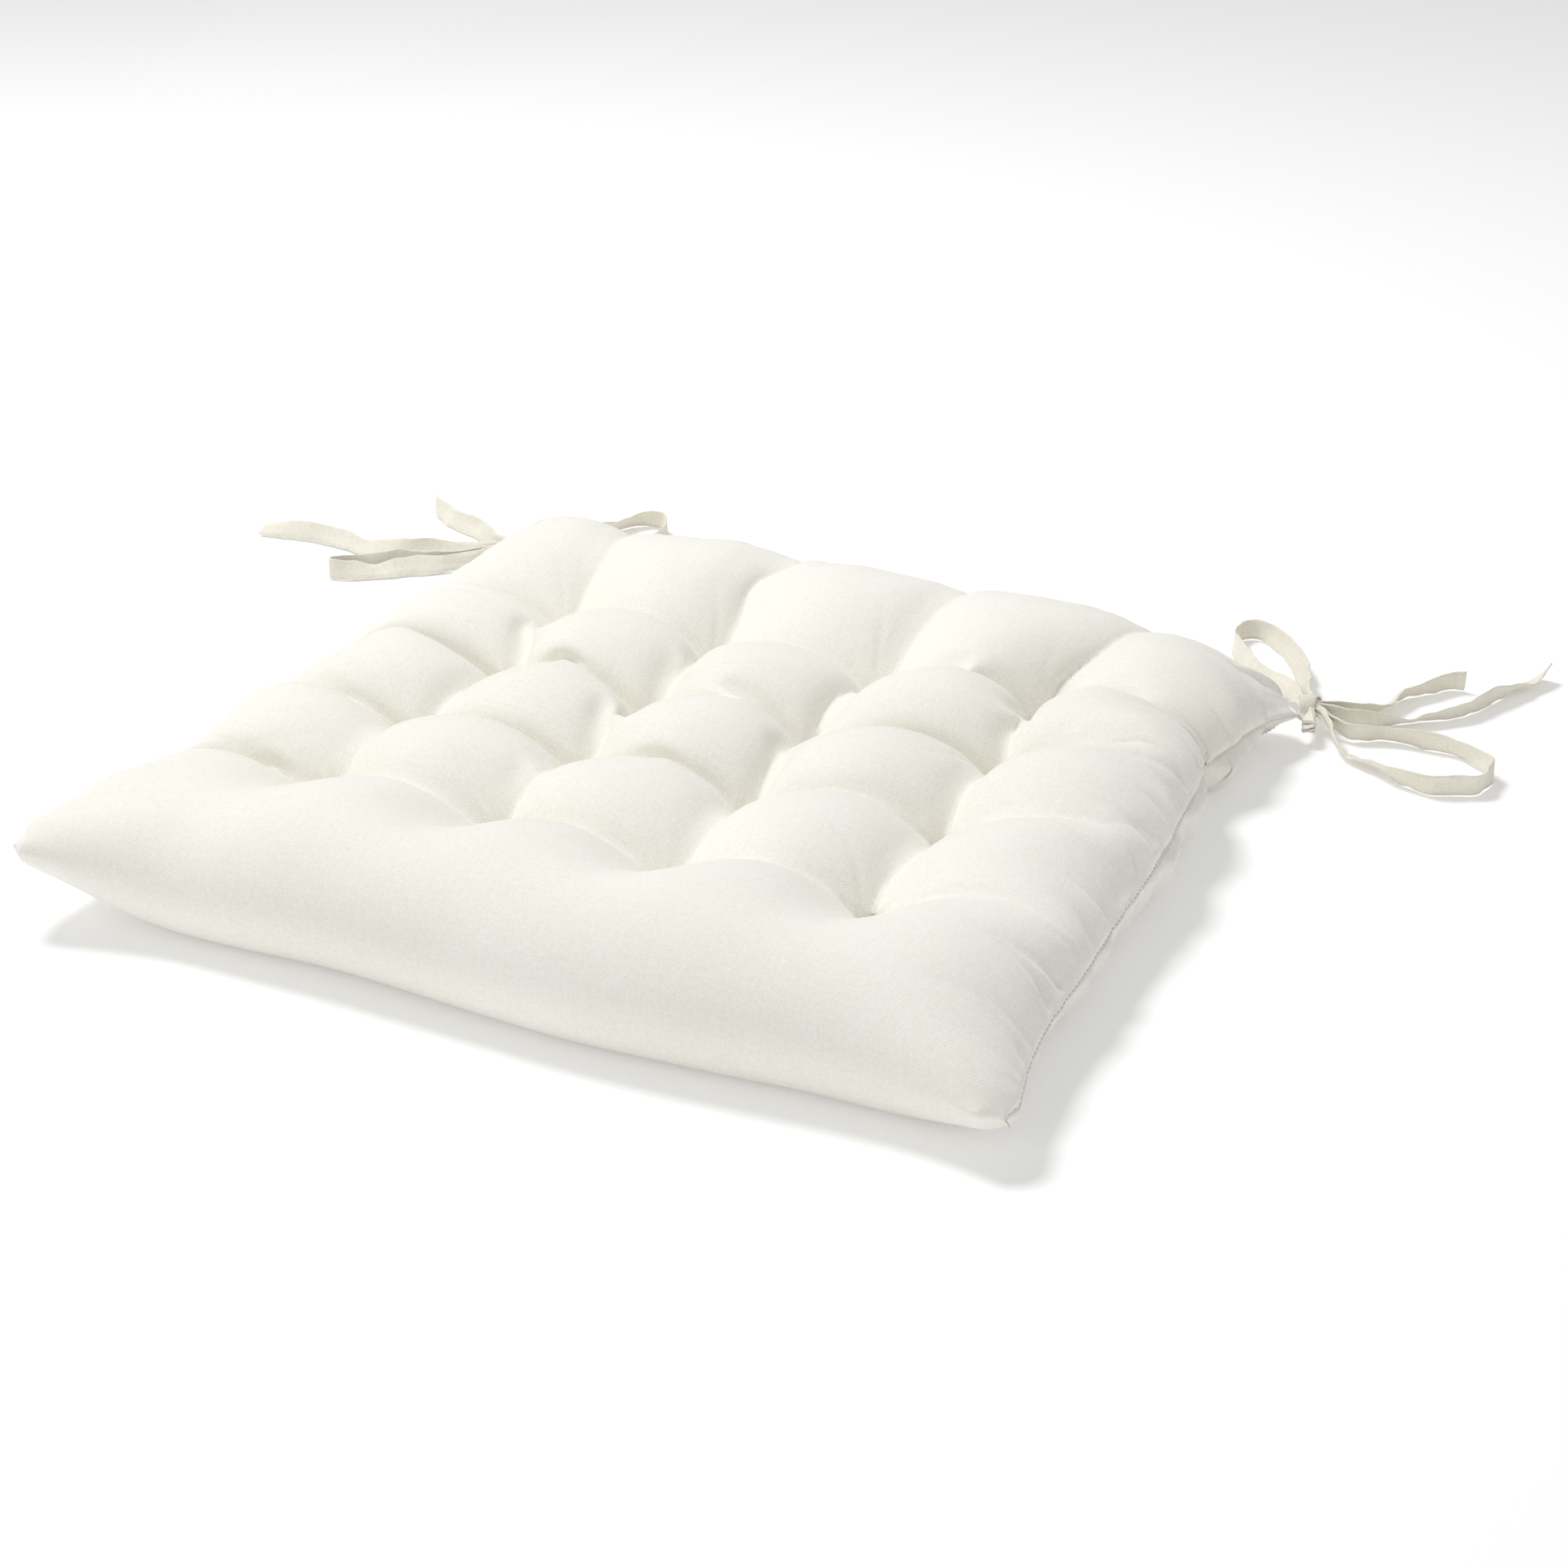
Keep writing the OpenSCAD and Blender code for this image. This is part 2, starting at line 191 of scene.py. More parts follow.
def woven(name, light, dark, pitch, weave_depth, blotch, rough=0.92, sheen=0.25, slub=0.35, crinkle=0.0):
    """Plain-woven cotton: warp and weft ribs from the cloth's own flat coordinates, slubs, tone change, soft sheen."""
    m, nt, bsdf = mat(name)
    L = nt.links.new
    fx = node(nt, "ShaderNodeAttribute", attribute_name="flat_x").outputs["Fac"]
    fy = node(nt, "ShaderNodeAttribute", attribute_name="flat_y").outputs["Fac"]
    comb = nt.nodes.new("ShaderNodeCombineXYZ")
    L(fx, comb.inputs[0]); L(fy, comb.inputs[1])
    # thread paths wander a little
    wander = node(nt, "ShaderNodeTexNoise", in_Scale=60.0, in_Detail=2.0)
    L(comb.outputs[0], wander.inputs["Vector"])
    off = math_node(nt, "MULTIPLY", wander.outputs["Fac"], pitch * 2.2)
    fxw = math_node(nt, "ADD", fx, off)
    fyw = math_node(nt, "ADD", fy, off)
    k = 2 * math.pi / pitch
    sx = math_node(nt, "SINE", math_node(nt, "MULTIPLY", fxw, k / 2))
    sy = math_node(nt, "SINE", math_node(nt, "MULTIPLY", fyw, k / 2))
    cross = math_node(nt, "MULTIPLY", sx, sy)
    ribs = math_node(nt, "ADD", math_node(nt, "MULTIPLY", math_node(nt, "ABSOLUTE", sx), 0.5),
                     math_node(nt, "MULTIPLY", math_node(nt, "ABSOLUTE", sy), 0.5))
    weave = math_node(nt, "ADD", ribs, math_node(nt, "MULTIPLY", cross, 0.35))
    # slubs: long thin thickenings along the weft
    mapx = nt.nodes.new("ShaderNodeMapping")
    mapx.inputs["Scale"].default_value = (90.0, 1300.0, 1.0)
    L(comb.outputs[0], mapx.inputs["Vector"])
    slubs = node(nt, "ShaderNodeTexNoise", in_Scale=1.0, in_Detail=3.0, in_Roughness=0.6)
    L(mapx.outputs[0], slubs.inputs["Vector"])
    mapy = nt.nodes.new("ShaderNodeMapping")
    mapy.inputs["Scale"].default_value = (1300.0, 90.0, 1.0)
    L(comb.outputs[0], mapy.inputs["Vector"])
    slubs2 = node(nt, "ShaderNodeTexNoise", in_Scale=1.0, in_Detail=3.0, in_Roughness=0.6)
    L(mapy.outputs[0], slubs2.inputs["Vector"])
    slub_sum = math_node(nt, "ADD", slubs.outputs["Fac"], slubs2.outputs["Fac"])
    height = math_node(nt, "ADD", weave, math_node(nt, "MULTIPLY", slub_sum, slub))
    # tone
    geo = nt.nodes.new("ShaderNodeTexCoord")
    tone = node(nt, "ShaderNodeTexNoise", in_Scale=blotch, in_Detail=4.0, in_Roughness=0.55)
    L(geo.outputs["Object"], tone.inputs["Vector"])
    grain = node(nt, "ShaderNodeTexNoise", in_Scale=560.0, in_Detail=4.0, in_Roughness=0.75)
    L(comb.outputs[0], grain.inputs["Vector"])
    fine = math_node(nt, "ADD", math_node(nt, "MULTIPLY", math_node(nt, "SUBTRACT", slub_sum, 1.0), 1.1),
                     math_node(nt, "MULTIPLY", math_node(nt, "SUBTRACT", grain.outputs["Fac"], 0.5), 2.6))
    height = math_node(nt, "ADD", height, math_node(nt, "MULTIPLY", grain.outputs["Fac"], 1.2))
    t = math_node(nt, "ADD", math_node(nt, "MULTIPLY", math_node(nt, "SUBTRACT", tone.outputs["Fac"], 0.5), 1.6),
                  math_node(nt, "ADD", fine, math_node(nt, "MULTIPLY", weave, 0.28)))
    t = math_node(nt, "ADD", t, 0.30, clamp=True)
    ramp = nt.nodes.new("ShaderNodeMix")
    ramp.data_type = "RGBA"
    ramp.inputs["A"].default_value = dark
    ramp.inputs["B"].default_value = light
    L(t, ramp.inputs["Factor"])
    L(ramp.outputs["Result"], bsdf.inputs["Base Color"])
    rn = math_node(nt, "ADD", math_node(nt, "MULTIPLY", slub_sum, 0.05), rough - 0.05)
    L(rn, bsdf.inputs["Roughness"])
    bsdf.inputs["Sheen Weight"].default_value = sheen
    bsdf.inputs["Sheen Roughness"].default_value = 0.45
    bsdf.inputs["Specular IOR Level"].default_value = 0.22
    bump = nt.nodes.new("ShaderNodeBump")
    bump.inputs["Strength"].default_value = 0.55
    bump.inputs["Distance"].default_value = weave_depth
    L(height, bump.inputs["Height"])
    # a soft unevenness of the cloth itself
    cr = node(nt, "ShaderNodeTexNoise", in_Scale=150.0, in_Detail=3.0)
    L(geo.outputs["Object"], cr.inputs["Vector"])
    bump2 = nt.nodes.new("ShaderNodeBump")
    bump2.inputs["Strength"].default_value = 0.35
    bump2.inputs["Distance"].default_value = 0.0004 + crinkle
    L(cr.outputs["Fac"], bump2.inputs["Height"])
    L(bump2.outputs[0], bump.inputs["Normal"])
    L(bump.outputs[0], bsdf.inputs["Normal"])
    return m


def thread_mat(name, light, dark):
    """Twisted sewing thread."""
    m, nt, bsdf = mat(name)
    L = nt.links.new
    geo = nt.nodes.new("ShaderNodeTexCoord")
    w = node(nt, "ShaderNodeTexWave", in_Scale=900.0, in_Distortion=1.5, in_Detail=2.0)
    w.bands_direction = "DIAGONAL"
    L(geo.outputs["Object"], w.inputs["Vector"])
    mix = nt.nodes.new("ShaderNodeMix")
    mix.data_type = "RGBA"
    mix.inputs["A"].default_value = dark
    mix.inputs["B"].default_value = light
    L(w.outputs["Fac"], mix.inputs["Factor"])
    L(mix.outputs["Result"], bsdf.inputs["Base Color"])
    bsdf.inputs["Roughness"].default_value = 0.6
    bsdf.inputs["Sheen Weight"].default_value = 0.15
    b = nt.nodes.new("ShaderNodeBump")
    b.inputs["Strength"].default_value = 0.5
    b.inputs["Distance"].default_value = 0.0001
    L(w.outputs["Fac"], b.inputs["Height"])
    L(b.outputs[0], bsdf.inputs["Normal"])
    return m


COTTON = woven("cover_cotton", (0.93, 0.915, 0.855, 1), (0.86, 0.842, 0.765, 1), 0.0007, 0.00014, 9.0)
TAPE = woven("tie_tape", (0.87, 0.84, 0.745, 1), (0.77, 0.735, 0.63, 1), 0.0007, 0.00010, 55.0, sheen=0.2, slub=0.5, crinkle=0.0004)
THREAD = thread_mat("sewing_thread", (0.86, 0.85, 0.79, 1), (0.70, 0.68, 0.60, 1))
FIBRE, _nt, _b = mat("fibre_filling")
_n = node(_nt, "ShaderNodeTexNoise", in_Scale=400.0, in_Detail=6.0, in_Roughness=0.7)
_m = _nt.nodes.new("ShaderNodeMix"); _m.data_type = "RGBA"
_m.inputs["A"].default_value = (0.80, 0.80, 0.80, 1); _m.inputs["B"].default_value = (0.95, 0.95, 0.95, 1)
_nt.links.new(_n.outputs["Fac"], _m.inputs["Factor"]); _nt.links.new(_m.outputs["Result"], _b.inputs["Base Color"])
_bb = _nt.nodes.new("ShaderNodeBump"); _bb.inputs["Distance"].default_value = 0.002
_nt.links.new(_n.outputs["Fac"], _bb.inputs["Height"]); _nt.links.new(_bb.outputs[0], _b.inputs["Normal"])
_b.inputs["Roughness"].default_value = 0.95


def flat_attributes(ob, fx, fy):
    for nm, val in (("flat_x", fx), ("flat_y", fy)):
        a = ob.data.attributes.new(nm, "FLOAT", "POINT")
        a.data.foreach_set("value", np.asarray(val, np.float32).ravel())


# ---------------------------------------------------------------- ties
TIP_R, TIP_L = (185.0, 190.0), (-185.0, 190.0)
KNOT_R, KNOT_L = np.array([181.0, 205.0, 11.0]), np.array([-236.0, 232.0, 9.0])
PIVOT_R, PIVOT_L = np.array([184.0, 196.0, 8.5]), np.array([-190.0, 194.0, 17.0])

# routes beside each knot, as in the design: x, y from the knot, height, width share, roll in degrees (90 = on edge)
R_LOOP_BACK = [[-2, 6.2, 11, .55, 80], [-7, 17, 9, .75, 60], [-14, 38, 7, .95, 55], [-21, 58, 5.6, 1, 60],
    [-33, 76, 5.3, 1, 70], [-44, 88, 5.3, 1, 80], [-53, 92, 5.3, 1, 88], [-58, 86, 5.3, 1, 92],
    [-57, 73, 5.3, 1, 98], [-50, 60, 5.3, 1, 108], [-41, 46, 5.3, 1, 118], [-31, 38, 5.6, 1, 128],
    [-19, 27, 7, .95, 120], [-9, 14, 9, .75, 105], [-4.6, 4.8, 11, .5, 95]]
R_LOOP_FRONT = [[6.3, -1.6, 10, .5, 90], [13, -5.5, 8, .7, 75], [22, -7, 6.4, .9, 62], [32, -2, 5.4, 1, 60],
    [42, -1, 5.3, 1, 64], [52, -2, 5.3, 1, 68], [62, -2, 5.3, 1, 74], [72, -8, 5.3, 1, 80],
    [80, -13, 5.3, 1, 86], [85, -20, 5.3, 1, 90], [85, -29, 5.3, 1, 92], [83, -38, 5.3, 1, 96],
    [74, -43, 5.3, 1, 102], [65, -47, 5.3, 1, 108], [57, -45, 5.3, 1, 112], [48, -41, 5.3, 1, 118],
    [38, -33, 5.3, .95, 132], [28, -27, 5.4, .9, 150], [22.5, -25, 6, .9, 135], [17, -19.5, 7, .7, 115],
    [12.5, -13, 8.5, .6, 100], [6.2, -4.2, 10, .5, 90]]
R_TAIL_BACK = [[5.7, 3.2, 11, .55, 90], [11, 6, 9.5, .8, 86], [17, 9, 8, .95, 80], [23, 17, 6.4, 1, 62],
    [26, 31, 5.6, 1, 40], [29, 45, 5.4, 1, 52], [37, 58, 5.4, 1, 66], [45, 68, 5.4, 1, 74], [51, 72, 5.4, 1, 78]]
R_TAIL_FRONT = [[6.4, 0.6, 10, .55, 90], [13, 2.5, 8.4, .85, 80], [21, 6, 7, 1, 74], [29, 12, 6, 1, 60],
    [37, 20, 5.5, 1, 30], [45, 27, 5.4, 1, 40], [53, 34, 5.4, 1, 58], [61, 45, 5.4, 1, 70],
    [66, 59, 5.4, 1, 76], [71, 72, 5.4, 1, 60], [76, 86, 5.4, 1, 30], [81, 101, 5.4, 1, 62]]
L_LOOP_BACK = [[1.8, 6.2, 9, .5, 90], [6, 18, 7.4, .7, 80], [12, 36, 6, .9, 70], [18, 53, 5.4, 1, 60],
    [23, 66, 5.3, 1, 55], [28, 77, 5.3, 1, 62], [35, 81, 5.3, 1, 72], [43, 78, 5.3, 1, 84],
    [49, 70, 5.3, 1, 94], [51, 60, 5.3, 1, 104], [46, 47, 5.3, 1, 112], [37, 33, 5.3, 1, 112],
    [27, 20, 6, .9, 106], [15, 10, 7.4, .7, 98], [5.2, 4, 9, .5, 90]]
L_LOOP_FRONT = [[-5, -4.4, 9, .5, 90], [-15, -13, 7.2, .7, 84], [-27, -23, 5.8, .9, 74], [-36, -30, 5.3, 1, 66],
    [-45, -37, 5.3, 1, 52], [-54, -44, 5.3, .8, 40], [-63, -51, 5.3, 1, 66], [-71, -55, 5.3, 1, 84],
    [-75, -52, 5.3, 1, 90], [-71, -48, 5.3, 1, 96], [-62, -42, 5.3, 1, 104], [-54, -33, 5.3, 1, 100],
    [-50, -27, 5.3, 1, 92], [-41, -24, 5.3, 1, 96], [-30, -19, 5.8, .9, 100], [-18, -11, 7.2, .7, 94],
    [-6.1, -2.4, 9, .5, 90]]
L_TAIL_BACK = [[-5.2, 4, 9, .5, 90], [-16, 12, 7.2, .7, 86], [-26, 20, 5.8, .9, 76], [-34, 26, 5.4, 1, 66],
    [-43, 31, 5.4, 1, 60], [-54, 35, 5.4, 1, 56], [-66, 42, 5.4, 1, 66], [-73, 47, 5.4, 1, 80], [-78, 52, 5.4, 1, 86]]
L_TAIL_FRONT = [[-6.5, 0.8, 9, .5, 90], [-17, 3, 7.2, .7, 80], [-29, 3, 5.8, .8, 50], [-37, -2, 5.4, .9, 40],
    [-46, -7, 5.4, 1, 60], [-56, -13, 5.4, 1, 66], [-68, -17, 5.4, 1, 52], [-81, -16, 5.4, .9, 28],
    [-95, -13, 5.4, 1, 50], [-115, -13, 5.4, 1, 62], [-131, -14, 5.4, .9, 40], [-142, -15, 5.4, .8, 18]]

TAPE_W = 10.0
# tape cross-section: across the width, half thickness; the row at -3.9 is the sunk stitch line
PROFILE = [(-5.0, .10), (-4.85, .40), (-4.4, .52), (-3.9, .30), (-3.3, .50), (-1.6, .44), (0, .40), (1.8, .40),
           (3.6, .44), (4.5, .46), (4.9, .34), (5.0, .10)]


def tape_piece(name, knot, loop, tail, seed):
    rng = np.random.RandomState(seed)
    k0 = [0.0, 0.0, knot[2], .3, 90]
    pts = [k0] + loop + [[0.0, 0.0, knot[2] + .5, .3, 90]] + tail
    pts = np.array([[knot[0] + p[0], knot[1] + p[1], p[2], p[3], p[4]] for p in pts], float)
    # after the loop the tape turns over: keep the roll continuous
    c, s = catmull(pts, 1.0)
    wshare = np.clip(c[:, 3], .28, 1.0)
    roll = np.radians(c[:, 4] + wobble(rng, s, 14, 5.0) * np.minimum(1, wshare * 1.1))
    c[:, 0] += wobble(rng, s, 9, 0.22)
    c[:, 1] += wobble(rng, s, 9, 0.22)
    half = TAPE_W / 2 * wshare
    low = half * np.abs(np.sin(roll)) + .45 * np.abs(np.cos(roll)) + 0.35
    near = np.clip((c[:, 2] - 5.6) / 2.0, 0, 1)
    z = np.maximum(low, low * (1 - near) + c[:, 2] * near)
    z = np.maximum(z, low)
    ks = np.ones(5) / 5
    z = np.maximum(np.convolve(np.pad(z, 2, mode="edge"), ks, "valid"), low)
    line = np.stack([c[:, 0], c[:, 1], z], 1)
    t, side, up = frames(line)
    wv = np.cos(roll)[:, None] * side + np.sin(roll)[:, None] * up
    nv = np.cross(t, wv)
    n = len(line)
    prof = np.array(PROFILE)
    # crinkles: the face bows and ripples a little, more where the tape is gathered
    curl = wobble(rng, s, 11, 0.24)
    rip1, rip2 = wobble(rng, s, 4.5, 0.26), wobble(rng, s, 5.5, 0.26)
    edge1, edge2 = wobble(rng, s, 6, 0.22), wobble(rng, s, 6, 0.22)
    ring = []
    for sign in (1, -1):
        for a, b in (prof if sign > 0 else prof[::-1]):
            x = a / 5.0
            width = half * x + (edge1 if x < 0 else edge2) * abs(x) ** 6
            bow = curl * (1 - x * x) * 1.6 + (rip1 if x < 0 else rip2) * abs(x) ** 2
            gather = (1 - wshare) * 1.5 * np.cos(x * 7.0)
            off = bow + gather + sign * b * (1 + 0.6 * (1 - wshare))
            ring.append(line + width[:, None] * wv + off[:, None] * nv)
    ring = np.stack(ring, 1)
    m = ring.shape[1]
    ring[:, :, 2] = np.maximum(ring[:, :, 2], 0.15)
    v = ring.reshape(-1, 3)
    f = [(i * m + j, (i + 1) * m + j, (i + 1) * m + (j + 1) % m, i * m + (j + 1) % m) for i in range(n - 1) for j in range(m)]
    h = m // 2
    f += [tuple(q) for q in [(j, j + 1, m - 2 - j, m - 1 - j) for j in range(h - 1)]]
    b = (n - 1) * m
    f += [(b + j, b + m - 1 - j, b + m - 2 - j, b + j + 1) for j in range(h - 1)]
    ob = new_mesh(name, v * MM, f)
    ob.data.materials.append(TAPE)
    fxv = np.repeat(np.array([p[0] for p in prof] + [p[0] for p in prof[::-1]])[None], n, 0) * MM
    fyv = np.repeat(s[:, None], m, 1) * MM
    flat_attributes(ob, fxv + .1 * seed, fyv)
    # edge stitching in the sunk line, on both faces
    st = Batch()
    pitch, ln = 2.6, 1.9
    q = 12.0
    while q < s[-1] - 3:
        i0, i1 = np.searchsorted(s, [q, q + ln])
        i1 = min(i1, n - 1)
        if i1 > i0 and wshare[i0] > .8:
            for col, sgn in ((3, 1), (m - 1 - 3, -1)):
                seg = ring[[i0, (i0 + i1) // 2, i1], col] + sgn * nv[[i0, (i0 + i1) // 2, i1]] * 0.12
                seg[0] -= sgn * nv[i0] * .16
                seg[2] -= sgn * nv[i1] * .16
                st.add(*tube("", seg * MM, 0.00018, 6))
        q += pitch
    so = st.make(name + "_stitching")
    so.data.materials.append(THREAD)
    return ob, so, line * MM, s[-1] * MM


def smooth_knot(name, knot, seed, axis_deg, tilt):
    """Bow knot: gathered strands through the middle and one turn of tape wrapped round them."""
    rng = np.random.RandomState(seed)
    b = Batch()
    a = math.radians(axis_deg)
    ax = np.array([math.cos(a), math.sin(a), 0.0])
    perp = np.array([-math.sin(a), math.cos(a), 0.0])
    upv = np.array([0, 0, 1.0])
    # core: pleated bundle along the axis
    nr, na = 19, 40
    core = []
    for i in range(nr):
        x = (i / (nr - 1) * 2 - 1)
        r = 3.1 * math.sqrt(max(0.0, 1 - x * x)) ** 0.7 + .02
        for j in range(na):
            th = 2 * math.pi * j / na
            rr = r * (1 + 0.10 * math.sin(5 * th + 3 * x) + 0.05 * math.sin(9 * th - 4 * x))
            core.append(knot + ax * x * 5.2 + perp * rr * math.cos(th) * 0.95 + upv * rr * math.sin(th) * 1.15)
    f = [(i * na + j, i * na + (j + 1) % na, (i + 1) * na + (j + 1) % na, (i + 1) * na + j) for i in range(nr - 1) for j in range(na)]
    f += [tuple(range(na - 1, -1, -1)), tuple((nr - 1) * na + j for j in range(na))]
    b.add(np.array(core) * MM, f)
    # wraps: flat tape going once round, a little slanted, edges rolled
    for w, (width, rad, sl, shift) in enumerate(((7.4, 4.25, tilt, 0.3), (5.2, 3.7, -tilt * .7, -1.6))):
        na = 72
        prof = [(-1.0, .15), (-.92, .55), (-.55, .62), (0, .55), (.55, .62), (.92, .55), (1.0, .15),
                (.92, -.3), (.4, -.42), (-.4, -.42), (-.92, -.3)]
        ring = []
        for j in range(na):
            th = 2 * math.pi * j / na
            rad_d = perp * math.cos(th) * .95 + upv * math.sin(th) * 1.12
            wid = width * (0.86 + 0.14 * math.cos(th - 1.0 + w)) * (1 + .05 * math.sin(3 * th + seed))
            cen = knot + ax * (shift + sl * math.cos(th + .6)) + rad_d * (rad + .18 * math.sin(2 * th + w))
            for x, y in prof:
                pleat = 0.16 * math.sin(x * 6.0 + 2 * math.sin(th + w))
                crown = -0.55 * x * x
                ring.append(cen + ax * (x * wid / 2) + rad_d * (y * .8 + pleat + crown))
        m = len(prof)
        f = [(j * m + q, j * m + (q + 1) % m, ((j + 1) % na) * m + (q + 1) % m, ((j + 1) % na) * m + q) for j in range(na) for q in range(m)]
        b.add(np.array(ring) * MM, f)
    v = np.vstack(b.v)
    v[:, 2] = np.maximum(v[:, 2], 0.0002)
    b.v = [v]
    ob = b.make(name)
    ob.data.materials.append(TAPE)
    co = v
    d = co - knot * MM
    fxv = d @ ax
    fyv = np.arctan2(d @ upv, d @ perp) * 0.0045
    flat_attributes(ob, fxv, fyv)
    return ob


def neck_piece(name, tip, tip_z, pivot, knot, seed):
    """Doubled tape from inside the corner seam to the knot."""
    rng = np.random.RandomState(seed)
    d = knot[:2] - np.array(tip)
    run = np.linalg.norm(d)
    d = d / run
    pts = [[tip[0] - d[0] * 5, tip[1] - d[1] * 5, tip_z + .5, .5, 20], [tip[0], tip[1], tip_z + .2, .6, 15]]
    if run > 30:
        mid = np.array(tip) + d * run * .33
        pts.append([mid[0] + 1.5, mid[1] + 1.0, max(5.0, tip_z * .62), .8, 35])
        mid = np.array(tip) + d * run * .66
        pts.append([mid[0] - 1.0, mid[1] + 1.0, 5.6, .85, 60])
    pts.append([knot[0], knot[1], knot[2] - .5, .5, 80])
    out = Batch()
    fxs, fys = [], []
    for layer in (1, -1):
        c, s = catmull(pts, 1.0)
        half = TAPE_W / 2 * np.clip(c[:, 3], .3, 1) * (1 if layer > 0 else .96)
        roll = np.radians(c[:, 4] + wobble(rng, s, 12, 4.0))
        line = c[:, :3].copy()
        t, side, up = frames(line)
        wv = np.cos(roll)[:, None] * side + np.sin(roll)[:, None] * up
        nv = np.cross(t, wv)
        prof = np.array(PROFILE)
        ring = []
        for sign in (1, -1):
            for a, b in (prof if sign > 0 else prof[::-1]):
                x = a / 5.0
                off = layer * .62 + wobble(rng, s, 9, .05) + sign * b * .9 + .25 * np.cos(x * 5) * (1 - c[:, 3])
                ring.append(line + (half * x)[:, None] * wv + off[:, None] * nv)
        ring = np.stack(ring, 1)
        ring[:, :, 2] = np.maximum(ring[:, :, 2], 0.15)
        n, m = ring.shape[:2]
        f = [(i * m + j, (i + 1) * m + j, (i + 1) * m + (j + 1) % m, i * m + (j + 1) % m) for i in range(n - 1) for j in range(m)]
        h = m // 2
        f += [(j, j + 1, m - 2 - j, m - 1 - j) for j in range(h - 1)]
        e = (n - 1) * m
        f += [(e + j, e + m - 1 - j, e + m - 2 - j, e + j + 1) for j in range(h - 1)]
        out.add(ring.reshape(-1, 3) * MM, f)
        fxs.append(np.repeat(np.array([p[0] for p in prof] + [p[0] for p in prof[::-1]])[None], n, 0).ravel() * MM)
        fys.append(np.repeat(s[:, None], m, 1).ravel() * MM)
    ob = out.make(name)
    ob.data.materials.append(TAPE)
    flat_attributes(ob, np.concatenate(fxs), np.concatenate(fys))
    return ob


TIES = {}
for side, knot, tip, tip_z, pivot in (("left", KNOT_L, TIP_L, 18.0, PIVOT_L), ("right", KNOT_R, TIP_R, 8.0, PIVOT_R)):
    r = side == "right"
    neck = neck_piece(side + "_tie_neck_cloth", tip, tip_z, pivot, knot, 31 + r)
    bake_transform(neck)
    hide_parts(side + "_tie_neck")
    kn = smooth_knot(side + "_bow_knot", knot, 5 + r, 12 if r else 150, 1.3)
    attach(kn, side + "_tie")
    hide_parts(side + "_knot")
    for half, loop, tail, seed in (("front", R_LOOP_FRONT if r else L_LOOP_FRONT, R_TAIL_FRONT if r else L_TAIL_FRONT, 11),
                                   ("rear", R_LOOP_BACK if r else L_LOOP_BACK, R_TAIL_BACK if r else L_TAIL_BACK, 12)):
        tape, stitching, line, length = tape_piece(f"{side}_{half}_tape_cloth", knot, loop, tail, seed + 10 * r)
        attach(tape, side + "_bow")
        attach(stitching, side + "_bow")
        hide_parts(f"{side}_tape_{half}")
        TIES[f"{side}_{half}"] = round(float(length), 3)
print("tape halves, knot to end (m):", TIES)


# ---------------------------------------------------------------- the stuffed cover, solved as cloth
def smooth_noise(rng, a, b, s):
    g = rng.randn(int(math.ceil(a / s)) + 3, int(math.ceil(b / s)) + 3)
    return resample(g, a, b)


def lin(n, m):
    x = np.linspace(0, n - 1, m)
    i = np.minimum(x.astype(int), n - 2)
    return i, x - i


def resample(g, a, b):
    i, t = lin(g.shape[0], a)
    t = t * t * (3 - 2 * t)
    g = g[i] * (1 - t)[:, None] + g[i + 1] * t[:, None]
    i, t = lin(g.shape[1], b)
    t = t * t * (3 - 2 * t)
    return g[:, i] * (1 - t) + g[:, i + 1] * t


def upsample(P, a, b):
    i, t = lin(P.shape[1], a)
    P = P[:, i] * (1 - t)[None, :, None] + P[:, i + 1] * t[None, :, None]
    i, t = lin(P.shape[2], b)
    return P[:, :, i] * (1 - t) + P[:, :, i + 1] * t


def normals(P):
    du, dv = np.empty_like(P), np.empty_like(P)
    du[:, :, 1:-1] = P[:, :, 2:] - P[:, :, :-2]
    du[:, :, 0] = P[:, :, 1] - P[:, :, 0]
    du[:, :, -1] = P[:, :, -1] - P[:, :, -2]
    dv[:, 1:-1] = P[:, 2:] - P[:, :-2]
    dv[:, 0] = P[:, 1] - P[:, 0]
    dv[:, -1] = P[:, -1] - P[:, -2]
    n = np.empty_like(P)
    n[0] = du[1] * dv[2] - du[2] * dv[1]
    n[1] = du[2] * dv[0] - du[0] * dv[2]
    n[2] = du[0] * dv[1] - du[1] * dv[0]
    n /= np.sqrt((n * n).sum(0)) + 1e-9
    return n


def link(A, B, L, k):
    L = L[:A.shape[1], :A.shape[2]]
    B = B[:, :A.shape[1], :A.shape[2]]
    d = B - A
    l = np.sqrt(d[0] * d[0] + d[1] * d[1] + d[2] * d[2])
    d *= (0.5 * k) * (l - L) / (l + 1e-9)
    A += d
    B -= d


def bend(P, kb):
    L = np.zeros_like(P)
    L[:, :, 1:-1] += P[:, :, 2:] + P[:, :, :-2] - 2 * P[:, :, 1:-1]
    L[:, 1:-1] += P[:, 2:] + P[:, :-2] - 2 * P[:, 1:-1]
    L[:, :, 0] = 0; L[:, :, -1] = 0; L[:, 0] = 0; L[:, -1] = 0
    D = np.zeros_like(P)
    D[:, :, 1:-1] += L[:, :, 2:] + L[:, :, :-2] - 2 * L[:, :, 1:-1]
    D[:, 1:-1] += L[:, 2:] + L[:, :-2] - 2 * L[:, 1:-1]
    P -= kb * D


